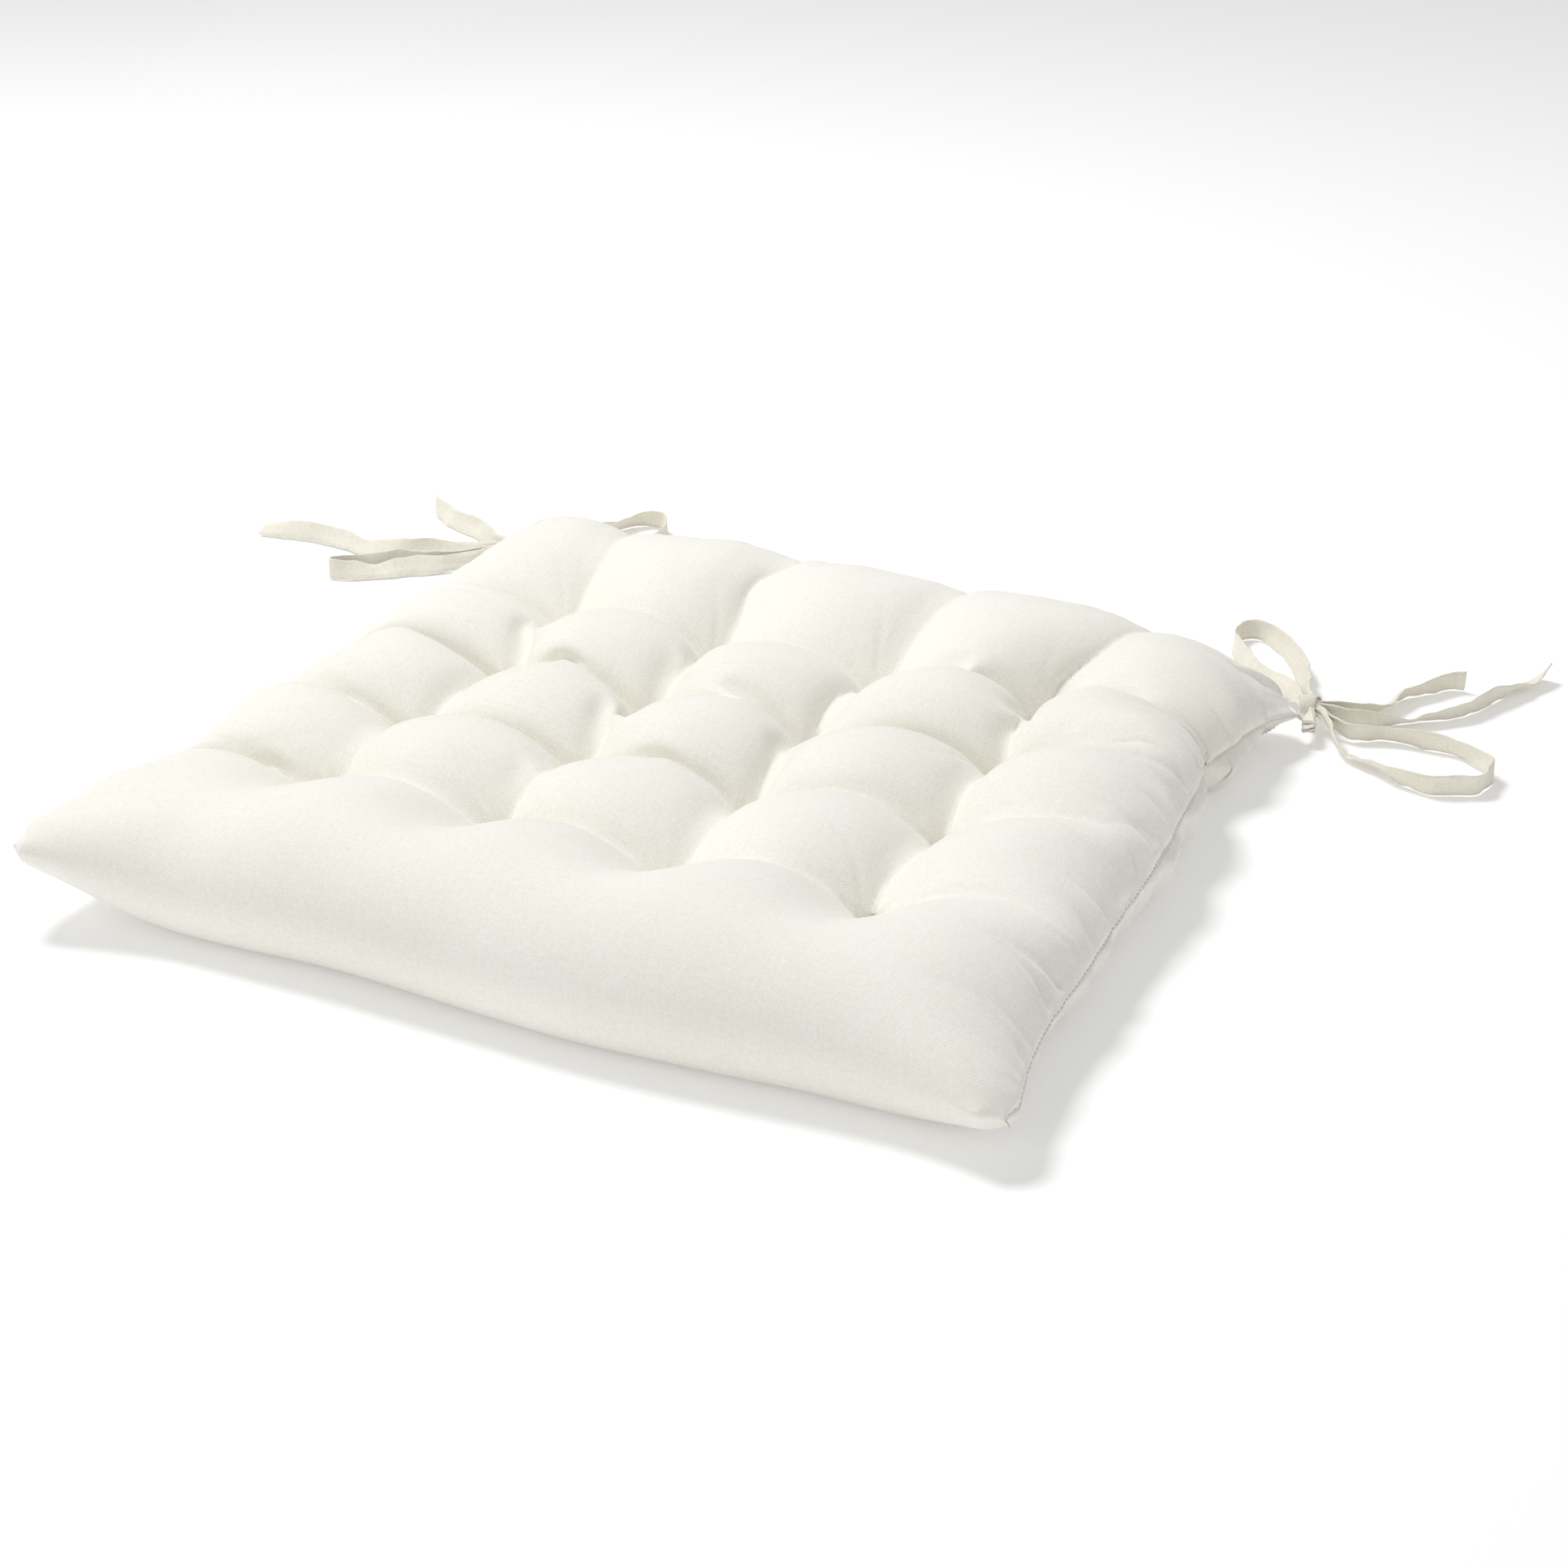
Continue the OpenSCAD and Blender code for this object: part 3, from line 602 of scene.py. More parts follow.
def seams(P, N):
    m = .5 * (P[:, 0] + P[:, -1])
    P[:, 0] = m
    P[:, -1] = m
    for c in (0, -1):
        a = P[:, :N, c]
        b = P[:, :N:-1, c]
        m = .5 * (a + b)
        P[:, :N, c] = m
        P[:, :N:-1, c] = m


# finished place of each tuft, front row first, left to right
TX = np.array([[-129, -52, 29, 103], [-128, -47, 27, 104], [-121, -51, 23, 100], [-126, -56, 24, 91]], float)
TY = np.array([[-84, -87, -100, -90], [-25, -31, -35, -22], [39, 27, 27, 40], [99, 92, 92, 101]], float)
CORNERS = dict(FL=(-200, -190, 35), FR=(200, -190, 16), BR=(185, 190, 8), BL=(-185, 190, 18))
K = dict(Wf=408., Wb=396., Wm=28., D0=432., fb=107., sx0=82., sy0=71., x0=(-6, -3, 1, 4), c=.016, damp=.985,
         ksh=.25, kb=.010, zt=20., zb=14., H=75., soft=.25, shr=.95, shs=.9, front_less=8., cp=1., lift=.05,
         cone=((4., .85), (6., 1.1), (6., 1.1), (13., 1.5)), grow=(0., .08, .1, .15),
         wl=10., wo=.7, dt=.82, dr=(.35, .35, .35, .5), dc=.6, dl=.5, db=.4, dre=.3, fl=60.,
         gr=.6, gl=.4, gb=.3, ng=25, lsh=(0, 0, 0, 6), rsh=(0, 0, 0, 6), bsh=(-8, 0, 0, 10))


def sheet_width(y):
    return K['Wf'] + (K['Wb'] - K['Wf']) * y / K['D0'] + K['Wm'] * np.sin(np.pi * y / K['D0'])


def crease_lines(tx, ty):
    """Where the filling parts: (start, end, depth there, depth at the end, depth half way or None, width, cusp)."""
    out = []
    for j in range(4):
        for i in range(4):
            p = (tx[j][i], ty[j])
            if i < 3:
                out.append((p, (tx[j][i + 1], ty[j]), K['dt'], K['dt'], K['dr'][j], .8, (2.4, 2.4, 1.0 if j < 3 else 2.6)))
            if j < 3:
                out.append((p, (tx[j + 1][i], ty[j + 1]), K['dt'], K['dt'], K['dc'], 1., (3.2, 3.2, 2.4)))
        out.append(((tx[j][0], ty[j]), (-sheet_width(ty[j]) / 2, ty[j] + K['lsh'][j]), K['dt'], K['dl'], None, K['wo'],
                    (4.6, 3.4, None)))
        out.append(((tx[j][3], ty[j]), (sheet_width(ty[j]) / 2, ty[j] + K['rsh'][j]), K['dt'] * .8, K['dre'], None, .8,
                    (2.8, 1.2, None)))
    for i in range(4):
        out.append(((tx[3][i], ty[3]), (tx[3][i] + K['bsh'][i], K['D0']), K['dt'], K['db'], None, K['wo'], (3.4, 1.8, None)))
        out.append(((tx[0][i], ty[0]), (tx[0][i], ty[0] - K['fl']), K['dt'], 0., None, 1.5, (1.6, 0., None)))
    # small gathers running in from the side and back seams
    rg = np.random.RandomState(21)
    for side, deep in ((1, K['gr']), (-1, K['gl']), (0, K['gb'])):
        run = K['D0'] if side else K['Wb']
        y = 12.
        while y < run - 10:
            y += rg.uniform(.6, 1.4) * run / K['ng']
            ln = rg.uniform(26, 62)
            skew = rg.uniform(-.3, .3) * ln
            d = deep * rg.uniform(.5, 1.3)
            p = (side * (sheet_width(y) / 2 + 1), y) if side else (y - run / 2, K['D0'] + 1)
            q = (side * (sheet_width(y) / 2 - ln), y + skew) if side else (y - run / 2 + skew, K['D0'] - ln)
            out.append((p, q, d, 0., None, rg.uniform(3.5, 6.) / K['wl'], (d * 4.0, 0., None)))
    return out


def along_line(X, Y, a, b):
    a, b = np.array(a, float), np.array(b, float)
    d = b - a
    t = np.clip(((X - a[0]) * d[0] + (Y - a[1]) * d[1]) / (d * d).sum(), 0, 1)
    return np.hypot(X - a[0] - t * d[0], Y - a[1] - t * d[1]), t


def crease_guide(tx, ty, X, Y):
    """Share of the full thickness wanted at each point of the flat sheet: less along the crease lines."""
    S = np.ones_like(X)
    for a, b, d0, d1, mid, w, cusp in crease_lines(tx, ty):
        r, t = along_line(X, Y, a, b)
        deep = d0 + (d1 - d0) * t if mid is None else mid + (d0 - mid) * (2 * t - 1) ** 2
        S = np.minimum(S, 1 - deep * np.exp(-(r / (w * K['wl'])) ** 2))
    return S


def crease_cusps(tx, ty, X, Y):
    """The sharp bottom of each crease, in mm, which the solver's cells are too coarse for."""
    D = np.zeros_like(X)
    for a, b, d0, d1, mid, w, (c0, c1, cm) in crease_lines(tx, ty):
        r, t = along_line(X, Y, a, b)
        deep = c0 + (c1 - c0) * t if cm is None else cm + (c0 - cm) * (2 * t - 1) ** 2
        D = np.maximum(D, deep * np.exp(-np.sqrt(r * r + .12) / 2.2))
    # finer tucks fanning out from each tuft
    rg = np.random.RandomState(77)
    for j in range(4):
        for i in range(4):
            outer = i in (0, 3) or j == 3
            for n in range(6 if outer else 4):
                if i == 0 and n < 3:
                    th = math.pi + rg.uniform(-.55, .55)
                elif i == 3 and n < 3:
                    th = rg.uniform(-.55, .55)
                elif j == 3 and n < 5:
                    th = math.pi / 2 + rg.uniform(-.55, .55)
                else:
                    th = rg.uniform(0, 2 * math.pi)
                ln = rg.uniform(34, 62) if outer and n < 5 else rg.uniform(14, 26)
                if j == 0 and math.sin(th) < -.3:
                    ln *= .7
                r, t = along_line(X, Y, (tx[j][i] + 3 * math.cos(th), ty[j] + 3 * math.sin(th)),
                                  (tx[j][i] + ln * math.cos(th), ty[j] + ln * math.sin(th)))
                D = np.maximum(D, rg.uniform(.6, 1.3) * (1 - t) * np.exp(-np.sqrt(r * r + .12) / 1.9))
    return D


def pad_sim(levels, seed):
    """One sheet folded at the front: row 0 is the back edge of the underside, row N the fold, row 2N the back
    edge of the top. Stuffed, pinned at the tufts, sewn at the sides and the back, lying on the floor. mm."""
    rng = np.random.RandomState(seed)
    tx = [[(i - 1.5) * K['sx0'] + K['x0'][j] for i in range(4)] for j in range(4)]
    ty = [K['fb'] + j * K['sy0'] for j in range(4)]
    P = None
    for li, (M, steps) in enumerate(levels):
        N = M
        r = np.arange(2 * N + 1)
        q = np.abs(r - N) / N
        W = sheet_width(q * K['D0'])
        fx = (np.arange(M + 1) / M - .5)[None, :] * W[:, None]
        fy = np.repeat((q * K['D0'])[:, None], M + 1, 1)
        top = r > N
        tr = np.array([[int(round(ty[j] / K['D0'] * N))] * 4 for j in range(4)])
        tc = np.array([[int(round((tx[j][i] / W[N + tr[j, i]] + .5) * M)) for i in range(4)] for j in range(4)])
        S = crease_guide(tx, ty, fx, fy)
        Lx = (W / M)[:, None] * np.ones((1, M))
        Ly = np.full((2 * N, M + 1), K['D0'] / N)
        nz = 1 + 0.010 * smooth_noise(rng, 2 * N + 1, M + 1, M / 9)
        Lx = Lx * nz[:, :-1]
        Ly = Ly * nz[:-1, :]
        if P is None:
            yk = np.array([0] + ty + [K['D0']])
            Y = np.interp(fy, yk, np.array([-188] + TY.mean(1).tolist() + [186.]))
            X = np.zeros_like(fx)
            for a in range(2 * N + 1):
                h = W[a] / 2
                jj = np.interp(fy[a, 0], ty, np.arange(4))
                j0 = int(min(2, jj))
                f = jj - j0
                mid_x = TX[j0] * (1 - f) + TX[j0 + 1] * f
                flat = [(i - 1.5) * K['sx0'] + K['x0'][j0] * (1 - f) + K['x0'][j0 + 1] * f for i in range(4)]
                X[a] = np.interp(fx[a], [-h] + flat + [h], [-200 + 15 * q[a]] + mid_x.tolist() + [200 - 15 * q[a]])
            edge = np.minimum(1, np.minimum(np.minimum(np.arange(M + 1), M - np.arange(M + 1))[None, :] * 8. / M,
                                            np.minimum(q * 8, (1 - q) * 8)[:, None]))
            prof = np.clip((S - (1 - K['dt'])) / K['dt'], 0, 1)
            Z = np.where(top[:, None], 30 + 22 * prof * edge, 16 - 10 * edge)
            P = np.stack([X, Y, np.where(edge > 0, Z, 26)])
        else:
            P = upsample(P, 2 * N + 1, M + 1)
        P = P.astype(np.float64)
        Q = P.copy()
        pins = []
        for j in range(4):
            for i in range(4):
                pins.append((N + tr[j, i], tc[j, i], TX[j, i], TY[j, i], K['zt']))
                pins.append((N - tr[j, i], tc[j, i], TX[j, i], TY[j, i], K['zb']))
        for k, (a, b) in dict(FL=(N, 0), FR=(N, M)).items():
            pins.append((a, b) + CORNERS[k])
        for k, b in dict(BL=0, BR=M).items():
            pins.append((0, b) + CORNERS[k])
            pins.append((2 * N, b) + CORNERS[k])
        pr = np.array([p[0] for p in pins])
        pc = np.array([p[1] for p in pins])
        pt = np.array([p[2:5] for p in pins], float).T
        p0 = P[:, pr, pc].copy()
        hold = np.array([1.0] * 32 + [K['cp']] * (len(pins) - 32))
        pm = 1 + 0.08 * smooth_noise(rng, 2 * N + 1, M + 1, M / 6)
        # a little more cloth at the corners, and seams drawn up shorter than the cloth beside them
        more = np.zeros_like(fx)
        for k, (sx, yy) in zip(K['grow'], ((-1, 0.), (1, 0.), (1, K['D0']), (-1, K['D0']))):
            more += k * np.exp(-(((fx - sx * W[:, None] / 2) ** 2 + (fy - yy) ** 2) / 42. ** 2))
        Lx *= 1 + more[:, :-1]
        Ly *= 1 + .5 * (more[:-1] + more[1:])
        for e, k in ((Ly[:, 0], K['shs']), (Ly[:, -1], K['shs']), (Lx[0], K['shr']), (Lx[-1], K['shr'])):
            e *= k
        Ld = np.sqrt((.5 * (Lx[:-1] + Lx[1:])) ** 2 + (.5 * (Ly[:, :-1] + Ly[:, 1:])) ** 2)
        # how thick the filling wants to be: less at each corner and just in front of the first row of tufts
        Hm = np.full((2 * N + 1, M + 1), float(K['H']))
        for (h0, grow), (sx, yy) in zip(K['cone'], ((-1, 0.), (1, 0.), (1, K['D0']), (-1, K['D0']))):
            lim = h0 + grow * np.hypot(fx - sx * W[:, None] / 2, fy - yy)
            Hm = -6. * np.log(np.exp(-Hm / 6.) + np.exp(-lim / 6.))
        Hm -= K['front_less'] * np.exp(-((q[:, None] * K['D0'] - K['fb'] + 26) / 30) ** 2)
        Hm *= S
        from_tip = np.hypot(fx + W[:, None] / 2, fy)
        near_tip = np.exp(-(from_tip / 42.) ** 2)
        c = K['c'] * (K['D0'] / N / 4.0)
        for s in range(steps):
            ramp = min(1, (s + 1) / (0.3 * steps)) if li == 0 else 1.
            n = normals(P)
            V = (P - Q) * K['damp']
            Q = P.copy()
            th = np.abs(P[2] - P[2][::-1])
            P += V + c * pm * np.clip((Hm - th) / (K['soft'] * K['H']), -.5, 1) * n
            P[2] -= c * 0.12
            # the stuffed front left tip stands clear of the floor
            P[2] += K['lift'] * near_tip * (35 - .14 * from_tip - .5 * (P[2] + P[2][::-1]))
            for a in (0, 1):
                link(P[:, :, a:-1:2], P[:, :, a + 1::2], Lx[:, a::2], 1.0)
            for a in (0, 1):
                link(P[:, a:-1:2, :], P[:, a + 1::2, :], Ly[a::2], 1.0)
            for a in (0, 1):
                link(P[:, a:-1:2, :-1], P[:, a + 1::2, 1:], Ld[a::2], K['ksh'])
                link(P[:, a:-1:2, 1:], P[:, a + 1::2, :-1], Ld[a::2], K['ksh'])
            bend(P, K['kb'])
            seams(P, N)
            m = P[2] < 0
            P[2][m] = 0
            for k in (0, 1):
                P[k][m] = .5 * (P[k][m] + Q[k][m])
            P[:, pr, pc] += hold * (p0 + (pt - p0) * ramp - P[:, pr, pc])
    return P, tr, tc, fx, fy


t_sim = time.time()
LEVELS = (((54, 700), (108, 700), (160, 320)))
P, TR, TC, FX, FY = pad_sim(LEVELS, 7)
N = M = P.shape[2] - 1
print("pad solved in %.1f s" % (time.time() - t_sim), "top %.1f mm" % P[2].max())
if not np.isfinite(P).all() or P[2].max() > 80:
    raise RuntimeError("the pad did not settle")

# a finer sheet for the mesh, smooth between the solved points
UP = 2


def refine(A):
    """Catmull-Rom in both directions, twice as fine."""
    for axis in (1, 2):
        A = np.moveaxis(A, axis, 1)
        pad = np.concatenate([2 * A[:, :1] - A[:, 1:2], A, 2 * A[:, -1:] - A[:, -2:-1]], 1)
        mid = (-pad[:, :-3] + 9 * pad[:, 1:-2] + 9 * pad[:, 2:-1] - pad[:, 3:]) / 16
        out = np.empty((A.shape[0], 2 * A.shape[1] - 1) + A.shape[2:])
        out[:, ::2] = A
        out[:, 1::2] = mid
        A = np.moveaxis(out, 1, axis)
    return A


P = np.stack([P[0], P[1], P[2]])
seams(P, N)
G = refine(P)
FXY = refine(np.stack([FX, np.where((np.arange(2 * N + 1) > N)[:, None], FY, -FY)]))
N2 = 2 * N
seams(G, N2)
R2, C2 = G.shape[1] - 1, G.shape[2] - 1
rng = np.random.RandomState(3)
rowq = np.abs(np.arange(R2 + 1) - N2)[:, None]
cold = np.minimum(np.arange(C2 + 1), C2 - np.arange(C2 + 1))[None, :]
cell = K['D0'] / N2
CORNER_W = []
for rc, cc in ((N2, 0), (N2, C2), (0, 0), (0, C2), (R2, 0), (R2, C2)):
    d = np.hypot((np.arange(R2 + 1) - rc)[:, None], (np.arange(C2 + 1) - cc)[None, :]) * cell
    CORNER_W.append(np.clip(1.25 - d / 11.0, 0, 1) * (d > .1))
seam_dist = np.minimum(cold, (N2 - rowq)) * cell * np.ones_like(G[0])
SEAM_W = .7 * np.exp(-(seam_dist / 9.0) ** 2)
# a needle steps evenly: the side seams run fair, without sharp corners
for c in (0, C2):
    was = G[:, :, c].copy()
    fair = was.copy()
    for it in range(70):
        fair[:, 1:N2] += .25 * (fair[:, 2:N2 + 1] + fair[:, :N2 - 1] - 2 * fair[:, 1:N2])
        fair[:, N2 + 1:-1] += .25 * (fair[:, N2 + 2:] + fair[:, N2:-2] - 2 * fair[:, N2 + 1:-1])
    reach = np.exp(-((np.arange(C2 + 1) - c) * cell / 20.0) ** 2)
    G = G + (fair - was)[:, :, None] * reach[None, None, :]
seams(G, N2)
nrm = normals(G)
# the very corners: turned seam allowance rounds each tip
for it in range(60):
    A = G.copy()
    A[:, 1:-1, 1:-1] = (G[:, 2:, 1:-1] + G[:, :-2, 1:-1] + G[:, 1:-1, 2:] + G[:, 1:-1, :-2]) / 4
    A[:, 1:-1, 0] = (G[:, 2:, 0] + G[:, :-2, 0] + 2 * G[:, 1:-1, 1]) / 4
    A[:, 1:-1, -1] = (G[:, 2:, -1] + G[:, :-2, -1] + 2 * G[:, 1:-1, -2]) / 4
    for row in (0, -1):
        A[:, row, 1:-1] = (G[:, row, 2:] + G[:, row, :-2] + 2 * G[:, row + (1 if row == 0 else -1), 1:-1]) / 4
    for wgt in CORNER_W:
        G = G + wgt * (A - G)
    if it < 5:
        G = G + SEAM_W * (A - G)
    seams(G, N2)
# sharp crease bottoms, wandering a little
wx = 2.2 * smooth_noise(rng, R2 + 1, C2 + 1, 26.0)
wy = 2.2 * smooth_noise(rng, R2 + 1, C2 + 1, 26.0)
MX = [[(i - 1.5) * K['sx0'] + K['x0'][j] for i in range(4)] for j in range(4)]
MY = [K['fb'] + j * K['sy0'] for j in range(4)]
near_tuft = np.zeros_like(G[0])
for j in range(4):
    for i in range(4):
        near_tuft = np.maximum(near_tuft, np.exp(-((FXY[0] - MX[j][i]) ** 2 + (np.abs(FXY[1]) - MY[j]) ** 2) / 12.0 ** 2))
calm = 1 - near_tuft
nrm = normals(G)
cusp = crease_cusps(MX, MY, FXY[0] + wx * calm, np.abs(FXY[1]) + wy * calm)
cusp *= 1 - .85 * np.exp(-(seam_dist / 4.5) ** 2)
G = G - nrm * cusp
nrm = normals(G)
# seam allowance: the cloth dips into each seam, and bulges a little beside it
dist = np.minimum(cold, (N2 - rowq)) * cell * np.ones_like(G[0])
dip = -0.8 * np.exp(-(dist / 1.5) ** 2) + 0.35 * np.exp(-((dist - 4.0) / 2.0) ** 2)
# gathers beside the side and back seams: sharp little valleys between rounded folds, running in from the seam
side_near = cold < (N2 - rowq)
right_half = (np.arange(C2 + 1) > C2 / 2)[None, :] & np.ones_like(G[0], bool)
along = np.where(side_near, rowq * cell + np.where(right_half, 0, 900), (np.arange(C2 + 1) * cell)[None, :] + 1800)


def strip(x, wave, seed):
    tbl = np.random.RandomState(seed).randn(900)
    x = x / wave
    i = np.floor(x).astype(int)
    t = x - i
    t = t * t * (3 - 2 * t)
    i = np.clip(i + 40, 0, 890)
    return tbl[i] * (1 - t) + tbl[i + 1] * t


gather = np.zeros_like(G[0])
for wave, amp, reach, seed in ((7.0, .45, 9.0, 1), (13.0, 1.1, 20.0, 2), (21.0, 1.9, 33.0, 5), (34.0, 1.6, 46.0, 8)):
    lean = strip(along, 60.0, seed + 20) * .35
    at = along + lean * dist + strip(dist + 300, 18.0, seed + 40) * .8 * (dist > 4)
    far = reach * (1 + .45 * np.tanh(strip(along, 27.0, seed + 60)))
    fade = np.exp(-(dist / far) ** 2) * (1 - np.exp(-(dist / 3.0) ** 2))
    gather += 1.6 * amp * (np.abs(strip(at, wave, seed)) ** .8 - .68) * fade
fold_line = np.exp(-(rowq * cell / 55.0) ** 2)
on_top = (np.arange(R2 + 1) > N2)[:, None]
amount = np.where(side_near, 1.0 - .8 * fold_line, .55) * np.where(side_near & ~right_half, .6, 1.0)
fade = np.clip(1 - sum(np.clip(w * 1.0, 0, 1) for w in CORNER_W[:2]), 0, 1)
G = G + nrm * (dip + gather * fade * amount)
# each tuft: the thread pulls a small sharp pit, with tiny tucks fanning from it
tuft_pts = []
for j in range(4):
    for i in range(4):
        for sgn in (1, -1):
            a, b = N2 + sgn * 2 * TR[j, i], 2 * TC[j, i]
            da = (np.arange(R2 + 1) - a)[:, None] * cell
            db = (np.arange(C2 + 1) - b)[None, :] * cell * 1.0
            d = np.sqrt(da * da + db * db)
            th = np.arctan2(da, db)
            rg = np.random.RandomState(100 + 8 * j + 2 * i + (sgn > 0))
            ph = rg.rand(3) * 6.28
            tuck = .30 * np.sin(5 * th + ph[0]) + .25 * np.sin(8 * th + ph[1]) + .12 * np.sin(13 * th + ph[2])
            depth = -1.5 * np.exp(-(d / 2.6) ** 2) + tuck * np.exp(-((d - 6) / 4.5) ** 2) * np.clip(d / 3, 0, 1)
            G = G + nrm * depth
            tuft_pts.append((j, i, sgn, a, b))
G[2] = np.maximum(G[2], 0.0)
seams(G, N2)

idx = np.arange((R2 + 1) * (C2 + 1)).reshape(R2 + 1, C2 + 1)
rep = idx.copy()
rep[:, -1] = idx[:, 0] * 0 + idx[:, -1]
for c in (0, C2):
    rep[:N2, c] = idx[:N2:-1, c]
rep[0, :] = idx[-1, :]
used = np.unique(rep)
remap = -np.ones(idx.size, int)
remap[used] = np.arange(len(used))
rep = remap[rep]
verts = G.reshape(3, -1).T[used]
faces = np.stack([rep[:-1, :-1], rep[:-1, 1:], rep[1:, 1:], rep[1:, :-1]], -1).reshape(-1, 4)
faces = [f for f in faces.tolist() if len(set(f)) == 4]
cover = new_mesh("pad_cover", verts * MM, faces)
cover.data.materials.append(COTTON)
flat_attributes(cover, FXY[0].ravel()[used] * MM, FXY[1].ravel()[used] * MM)
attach(cover, "pad")
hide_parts("cover", "filling")

# ---------------------------------------------------------------- seam stitches, tufts, bar tacks
seam = Batch()
edge_top = [(N2 + k, 0) for k in range(0, N2 + 1)] + [(R2, k) for k in range(0, C2 + 1)] + [(R2 - k, C2) for k in range(0, N2 + 1)]
line = np.array([G[:, a, b] for a, b in edge_top])
nn = np.array([nrm[:, a, b] for a, b in edge_top])
nl = np.linalg.norm(nn, axis=1)[:, None] + 1e-9
cen = np.array([0.0, 0.0])
out2 = line[:, :2] - cen
out2 /= np.linalg.norm(out2, axis=1)[:, None]
s = np.concatenate([[0], np.cumsum(np.linalg.norm(np.diff(line, axis=0), axis=1))])
fine = np.arange(4.0, s[-1] - 4.0, .45)
turn = [s[N2], s[N2 + C2]]
ln = np.stack([np.interp(fine, s, line[:, k]) for k in range(3)], 1)
od = np.stack([np.interp(fine, s, out2[:, k]) for k in range(2)] + [np.zeros_like(fine)], 1)
pos = 0
while pos + 6 < len(fine):
    seg = ln[pos:pos + 6] + od[pos:pos + 6] * np.array([-.35, .16, .34, .34, .16, -.35])[:, None]
    seam.add(*tube("", seg * MM, 0.00024, 6))
    pos += 7
seam_ob = seam.make("seam_stitches")
seam_ob.data.materials.append(THREAD)
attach(seam_ob, "pad")
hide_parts("edge_seam_thread")

tufts = Batch()
for j, i, sgn, a, b in tuft_pts:
    rg = np.random.RandomState(500 + 8 * j + 2 * i + (sgn > 0))
    c = G[:, a, b]
    nv = nrm[:, a, b] / (np.linalg.norm(nrm[:, a, b]) + 1e-9)
    up = np.array([0, 0, float(sgn)])
    nv = nv * .4 + up
    nv /= np.linalg.norm(nv)
    d0 = rg.uniform(-.5, .5) + (0 if sgn > 0 else 1.2)
    ax = np.array([math.cos(d0), math.sin(d0), 0.0])
    side_v = np.cross(nv, ax)
    side_v /= np.linalg.norm(side_v)
    for k in range(4):
        off = side_v * ((k - 1.5) * .55 + rg.uniform(-.1, .1))
        th = np.linspace(0, 1, 9)
        seg = [c + off + ax * (t - .5) * (5.2 + rg.uniform(-.4, .4)) + nv * (math.sin(math.pi * t) * .75 - .35) for t in th]
        seg = np.array(seg)
        seg[:, 2] = np.maximum(seg[:, 2], .2)
        tufts.add(*tube("", seg * MM, 0.00030, 8))
    # the locking turn across the middle
    th = np.linspace(0, 1, 9)
    seg = np.array([c + side_v * (t - .5) * 3.4 + nv * (math.sin(math.pi * t) * 1.15 - .3) for t in th])
    seg[:, 2] = np.maximum(seg[:, 2], .2)
    tufts.add(*tube("", seg * MM, 0.00030, 8))
tuft_ob = tufts.make("tuft_threads")
tuft_ob.data.materials.append(THREAD)
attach(tuft_ob, "pad")
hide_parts("tuft_stitches")

for side, tip, tz in (("left", TIP_L, 18.0), ("right", TIP_R, 8.0)):
    tack = Batch()
    knot = KNOT_L if side == "left" else KNOT_R
    d = (knot[:2] - np.array(tip))
    d = np.array([d[0], d[1], 0]) / np.linalg.norm(d)
    pv = np.array([-d[1], d[0], 0.0])
    c = np.array([tip[0], tip[1], tz])
    rg = np.random.RandomState(9)
    for k in range(11):
        off = pv * ((k - 5) * .52)
        seg = [c + off + d * (x + rg.uniform(-.12, .12)) + np.array([0, 0, z]) for x, z in ((-1.6, .4), (-.9, 1.55), (0, 1.95), (1.0, 1.75), (1.9, .9))]
        tack.add(*tube("", catmull(np.array(seg), .4)[0] * MM, 0.00024, 6))
        seg = [c + off + d * x + np.array([0, 0, -z]) for x, z in ((-1.6, .4), (-.9, 1.55), (0, 1.95), (1.0, 1.75), (1.9, .9))]
        tack.add(*tube("", catmull(np.array(seg), .4)[0] * MM, 0.00024, 6))
    for x in (-.9, 1.0):
        for z in (2.15, -2.15):
            seg = [c + pv * y + d * x + np.array([0, 0, z - .02 * y * y * (1 if z > 0 else -1)]) for y in (-2.9, -1.5, 0, 1.5, 2.9)]
            tack.add(*tube("", catmull(np.array(seg), .4)[0] * MM, 0.00024, 6))
    to = tack.make(side + "_tack_stitches")
    to.data.materials.append(THREAD)
    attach(to, "pad")
    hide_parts(side + "_bar_tack")

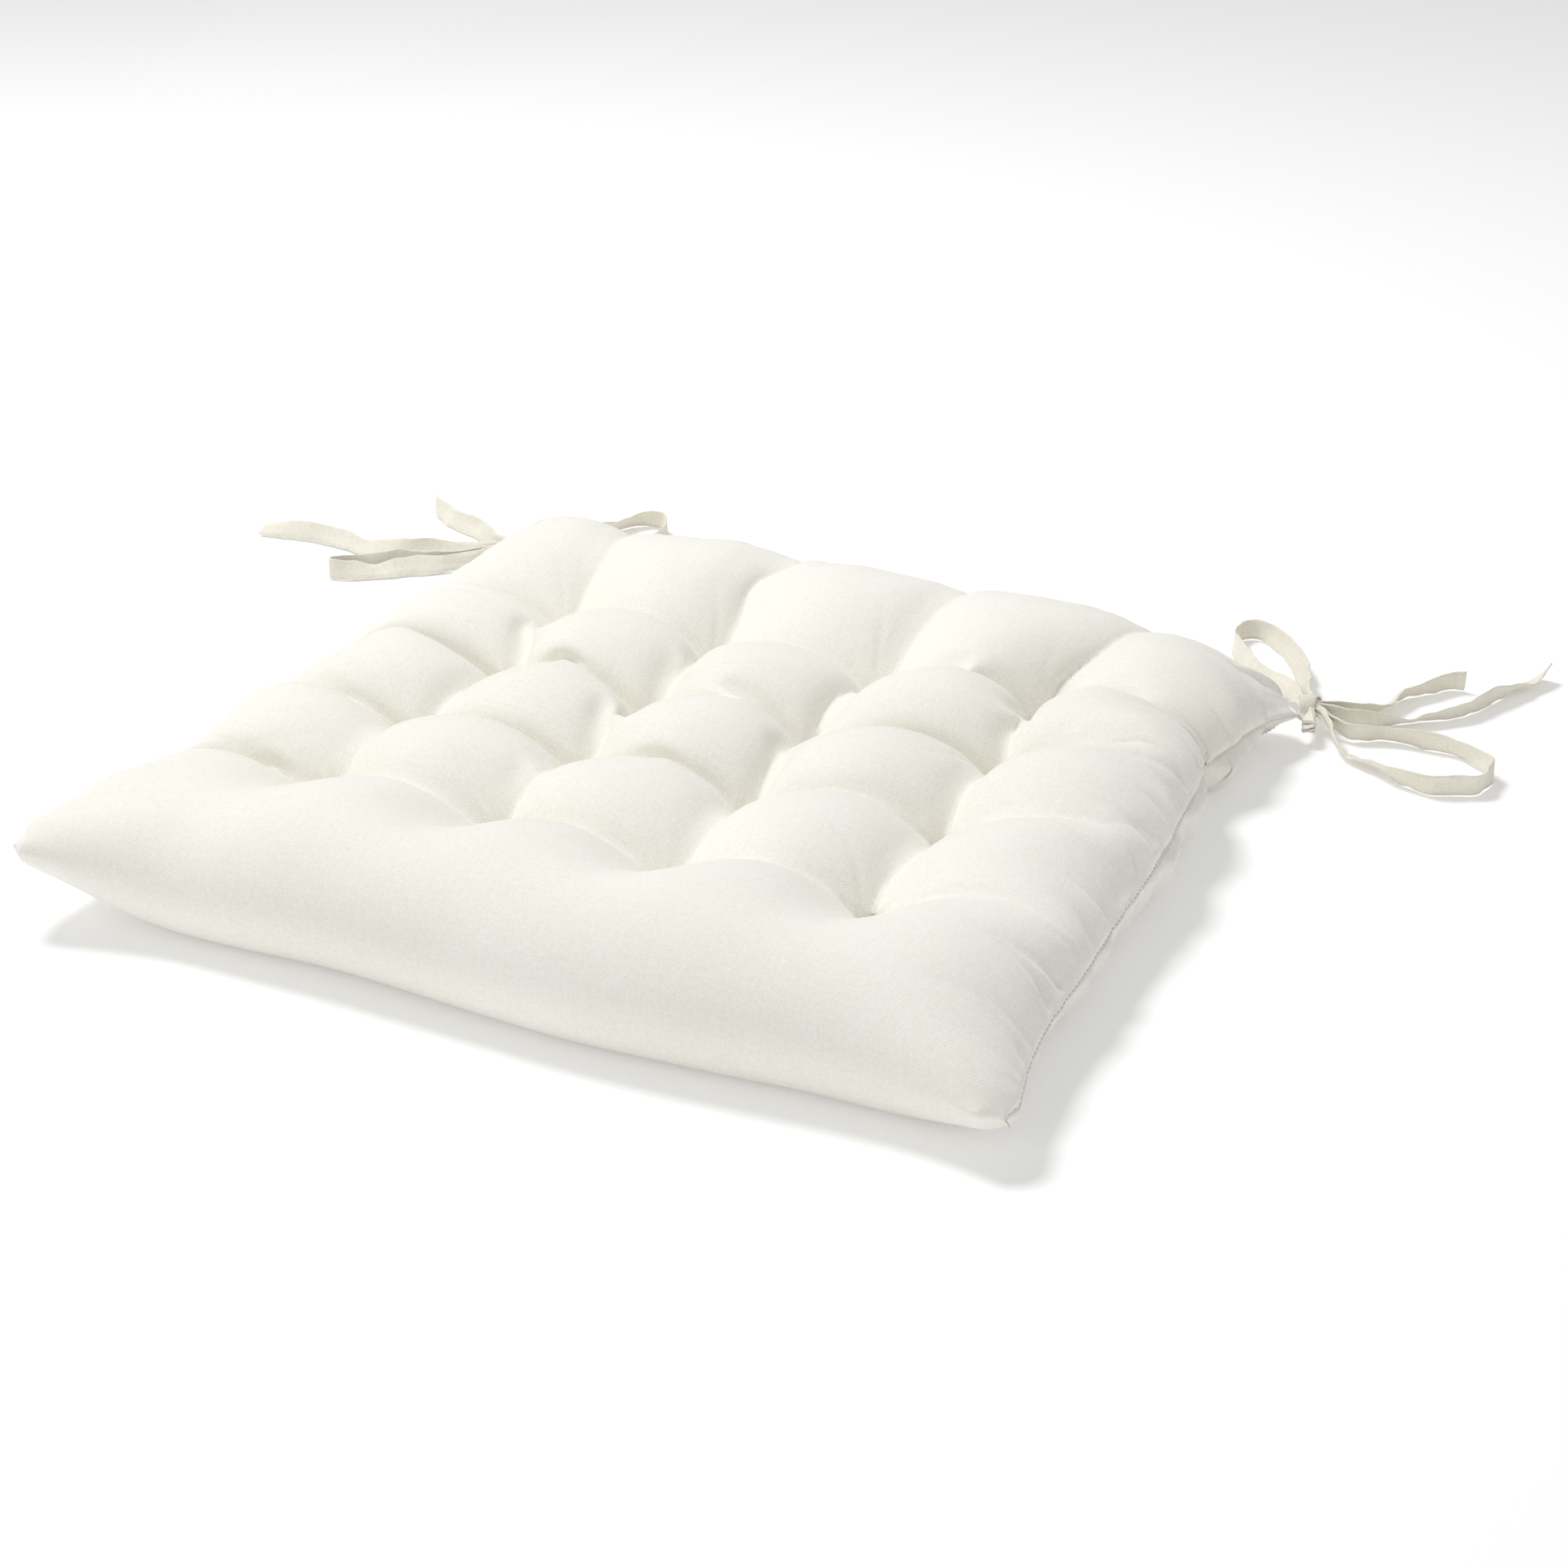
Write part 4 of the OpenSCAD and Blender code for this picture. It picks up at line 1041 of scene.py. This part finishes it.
# ---------------------------------------------------------------- finish of any CAD node that still shows
CAD_FINISH = {"cover": COTTON, "filling": FIBRE, "edge_seam_thread": THREAD, "tuft_stitches": THREAD,
              "left_bar_tack": THREAD, "right_bar_tack": THREAD}
for nm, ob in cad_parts.items():
    ob.data.materials.clear()
    ob.data.materials.append(CAD_FINISH.get(nm, TAPE))

# ---------------------------------------------------------------- floor and light
floor = new_mesh("studio_floor", [(-6, -6, 0), (6, -6, 0), (6, 6, 0), (-6, 6, 0)], [(0, 1, 2, 3)], smooth=False)
floor.location.z = -0.0002
fm, fnt, fb = mat("studio_floor")
fn = node(fnt, "ShaderNodeTexNoise", in_Scale=3.0)
fmix = fnt.nodes.new("ShaderNodeMix"); fmix.data_type = "RGBA"
fmix.inputs["A"].default_value = (0.90, 0.90, 0.90, 1); fmix.inputs["B"].default_value = (0.92, 0.92, 0.92, 1)
fnt.links.new(fn.outputs["Fac"], fmix.inputs["Factor"]); fnt.links.new(fmix.outputs["Result"], fb.inputs["Base Color"])
fb.inputs["Roughness"].default_value = 1.0
fb.inputs["Specular IOR Level"].default_value = 0.0
fb.inputs["Emission Color"].default_value = (1, 1, 1, 1)
fb.inputs["Emission Strength"].default_value = 0.16
floor.data.materials.append(fm)


def area(name, loc, aim, size, power, colour=(1, 1, 1)):
    d = bpy.data.lights.new(name, "AREA")
    d.shape = "DISK"
    d.size = size
    d.energy = power
    d.color = colour
    o = bpy.data.objects.new(name, d)
    scene.collection.objects.link(o)
    o.location = loc
    o.rotation_euler = (Vector(aim) - Vector(loc)).to_track_quat("-Z", "Y").to_euler()
    return o


area("key", (-0.9, 0.25, 1.85), (0, 0, 0), 0.7, 25)
area("fill", (-0.3, -1.8, 1.0), (0, 0, 0), 1.2, 4)

world = bpy.data.worlds.new("world")
scene.world = world
world.use_nodes = True
world.node_tree.nodes["Background"].inputs[0].default_value = (1, 1, 1, 1)
world.node_tree.nodes["Background"].inputs[1].default_value = 0.51
scene.view_settings.view_transform = "Standard"
scene.view_settings.look = "None"
scene.view_settings.exposure = 0.0

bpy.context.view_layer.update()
print("total %.1f s" % (time.time() - T0))
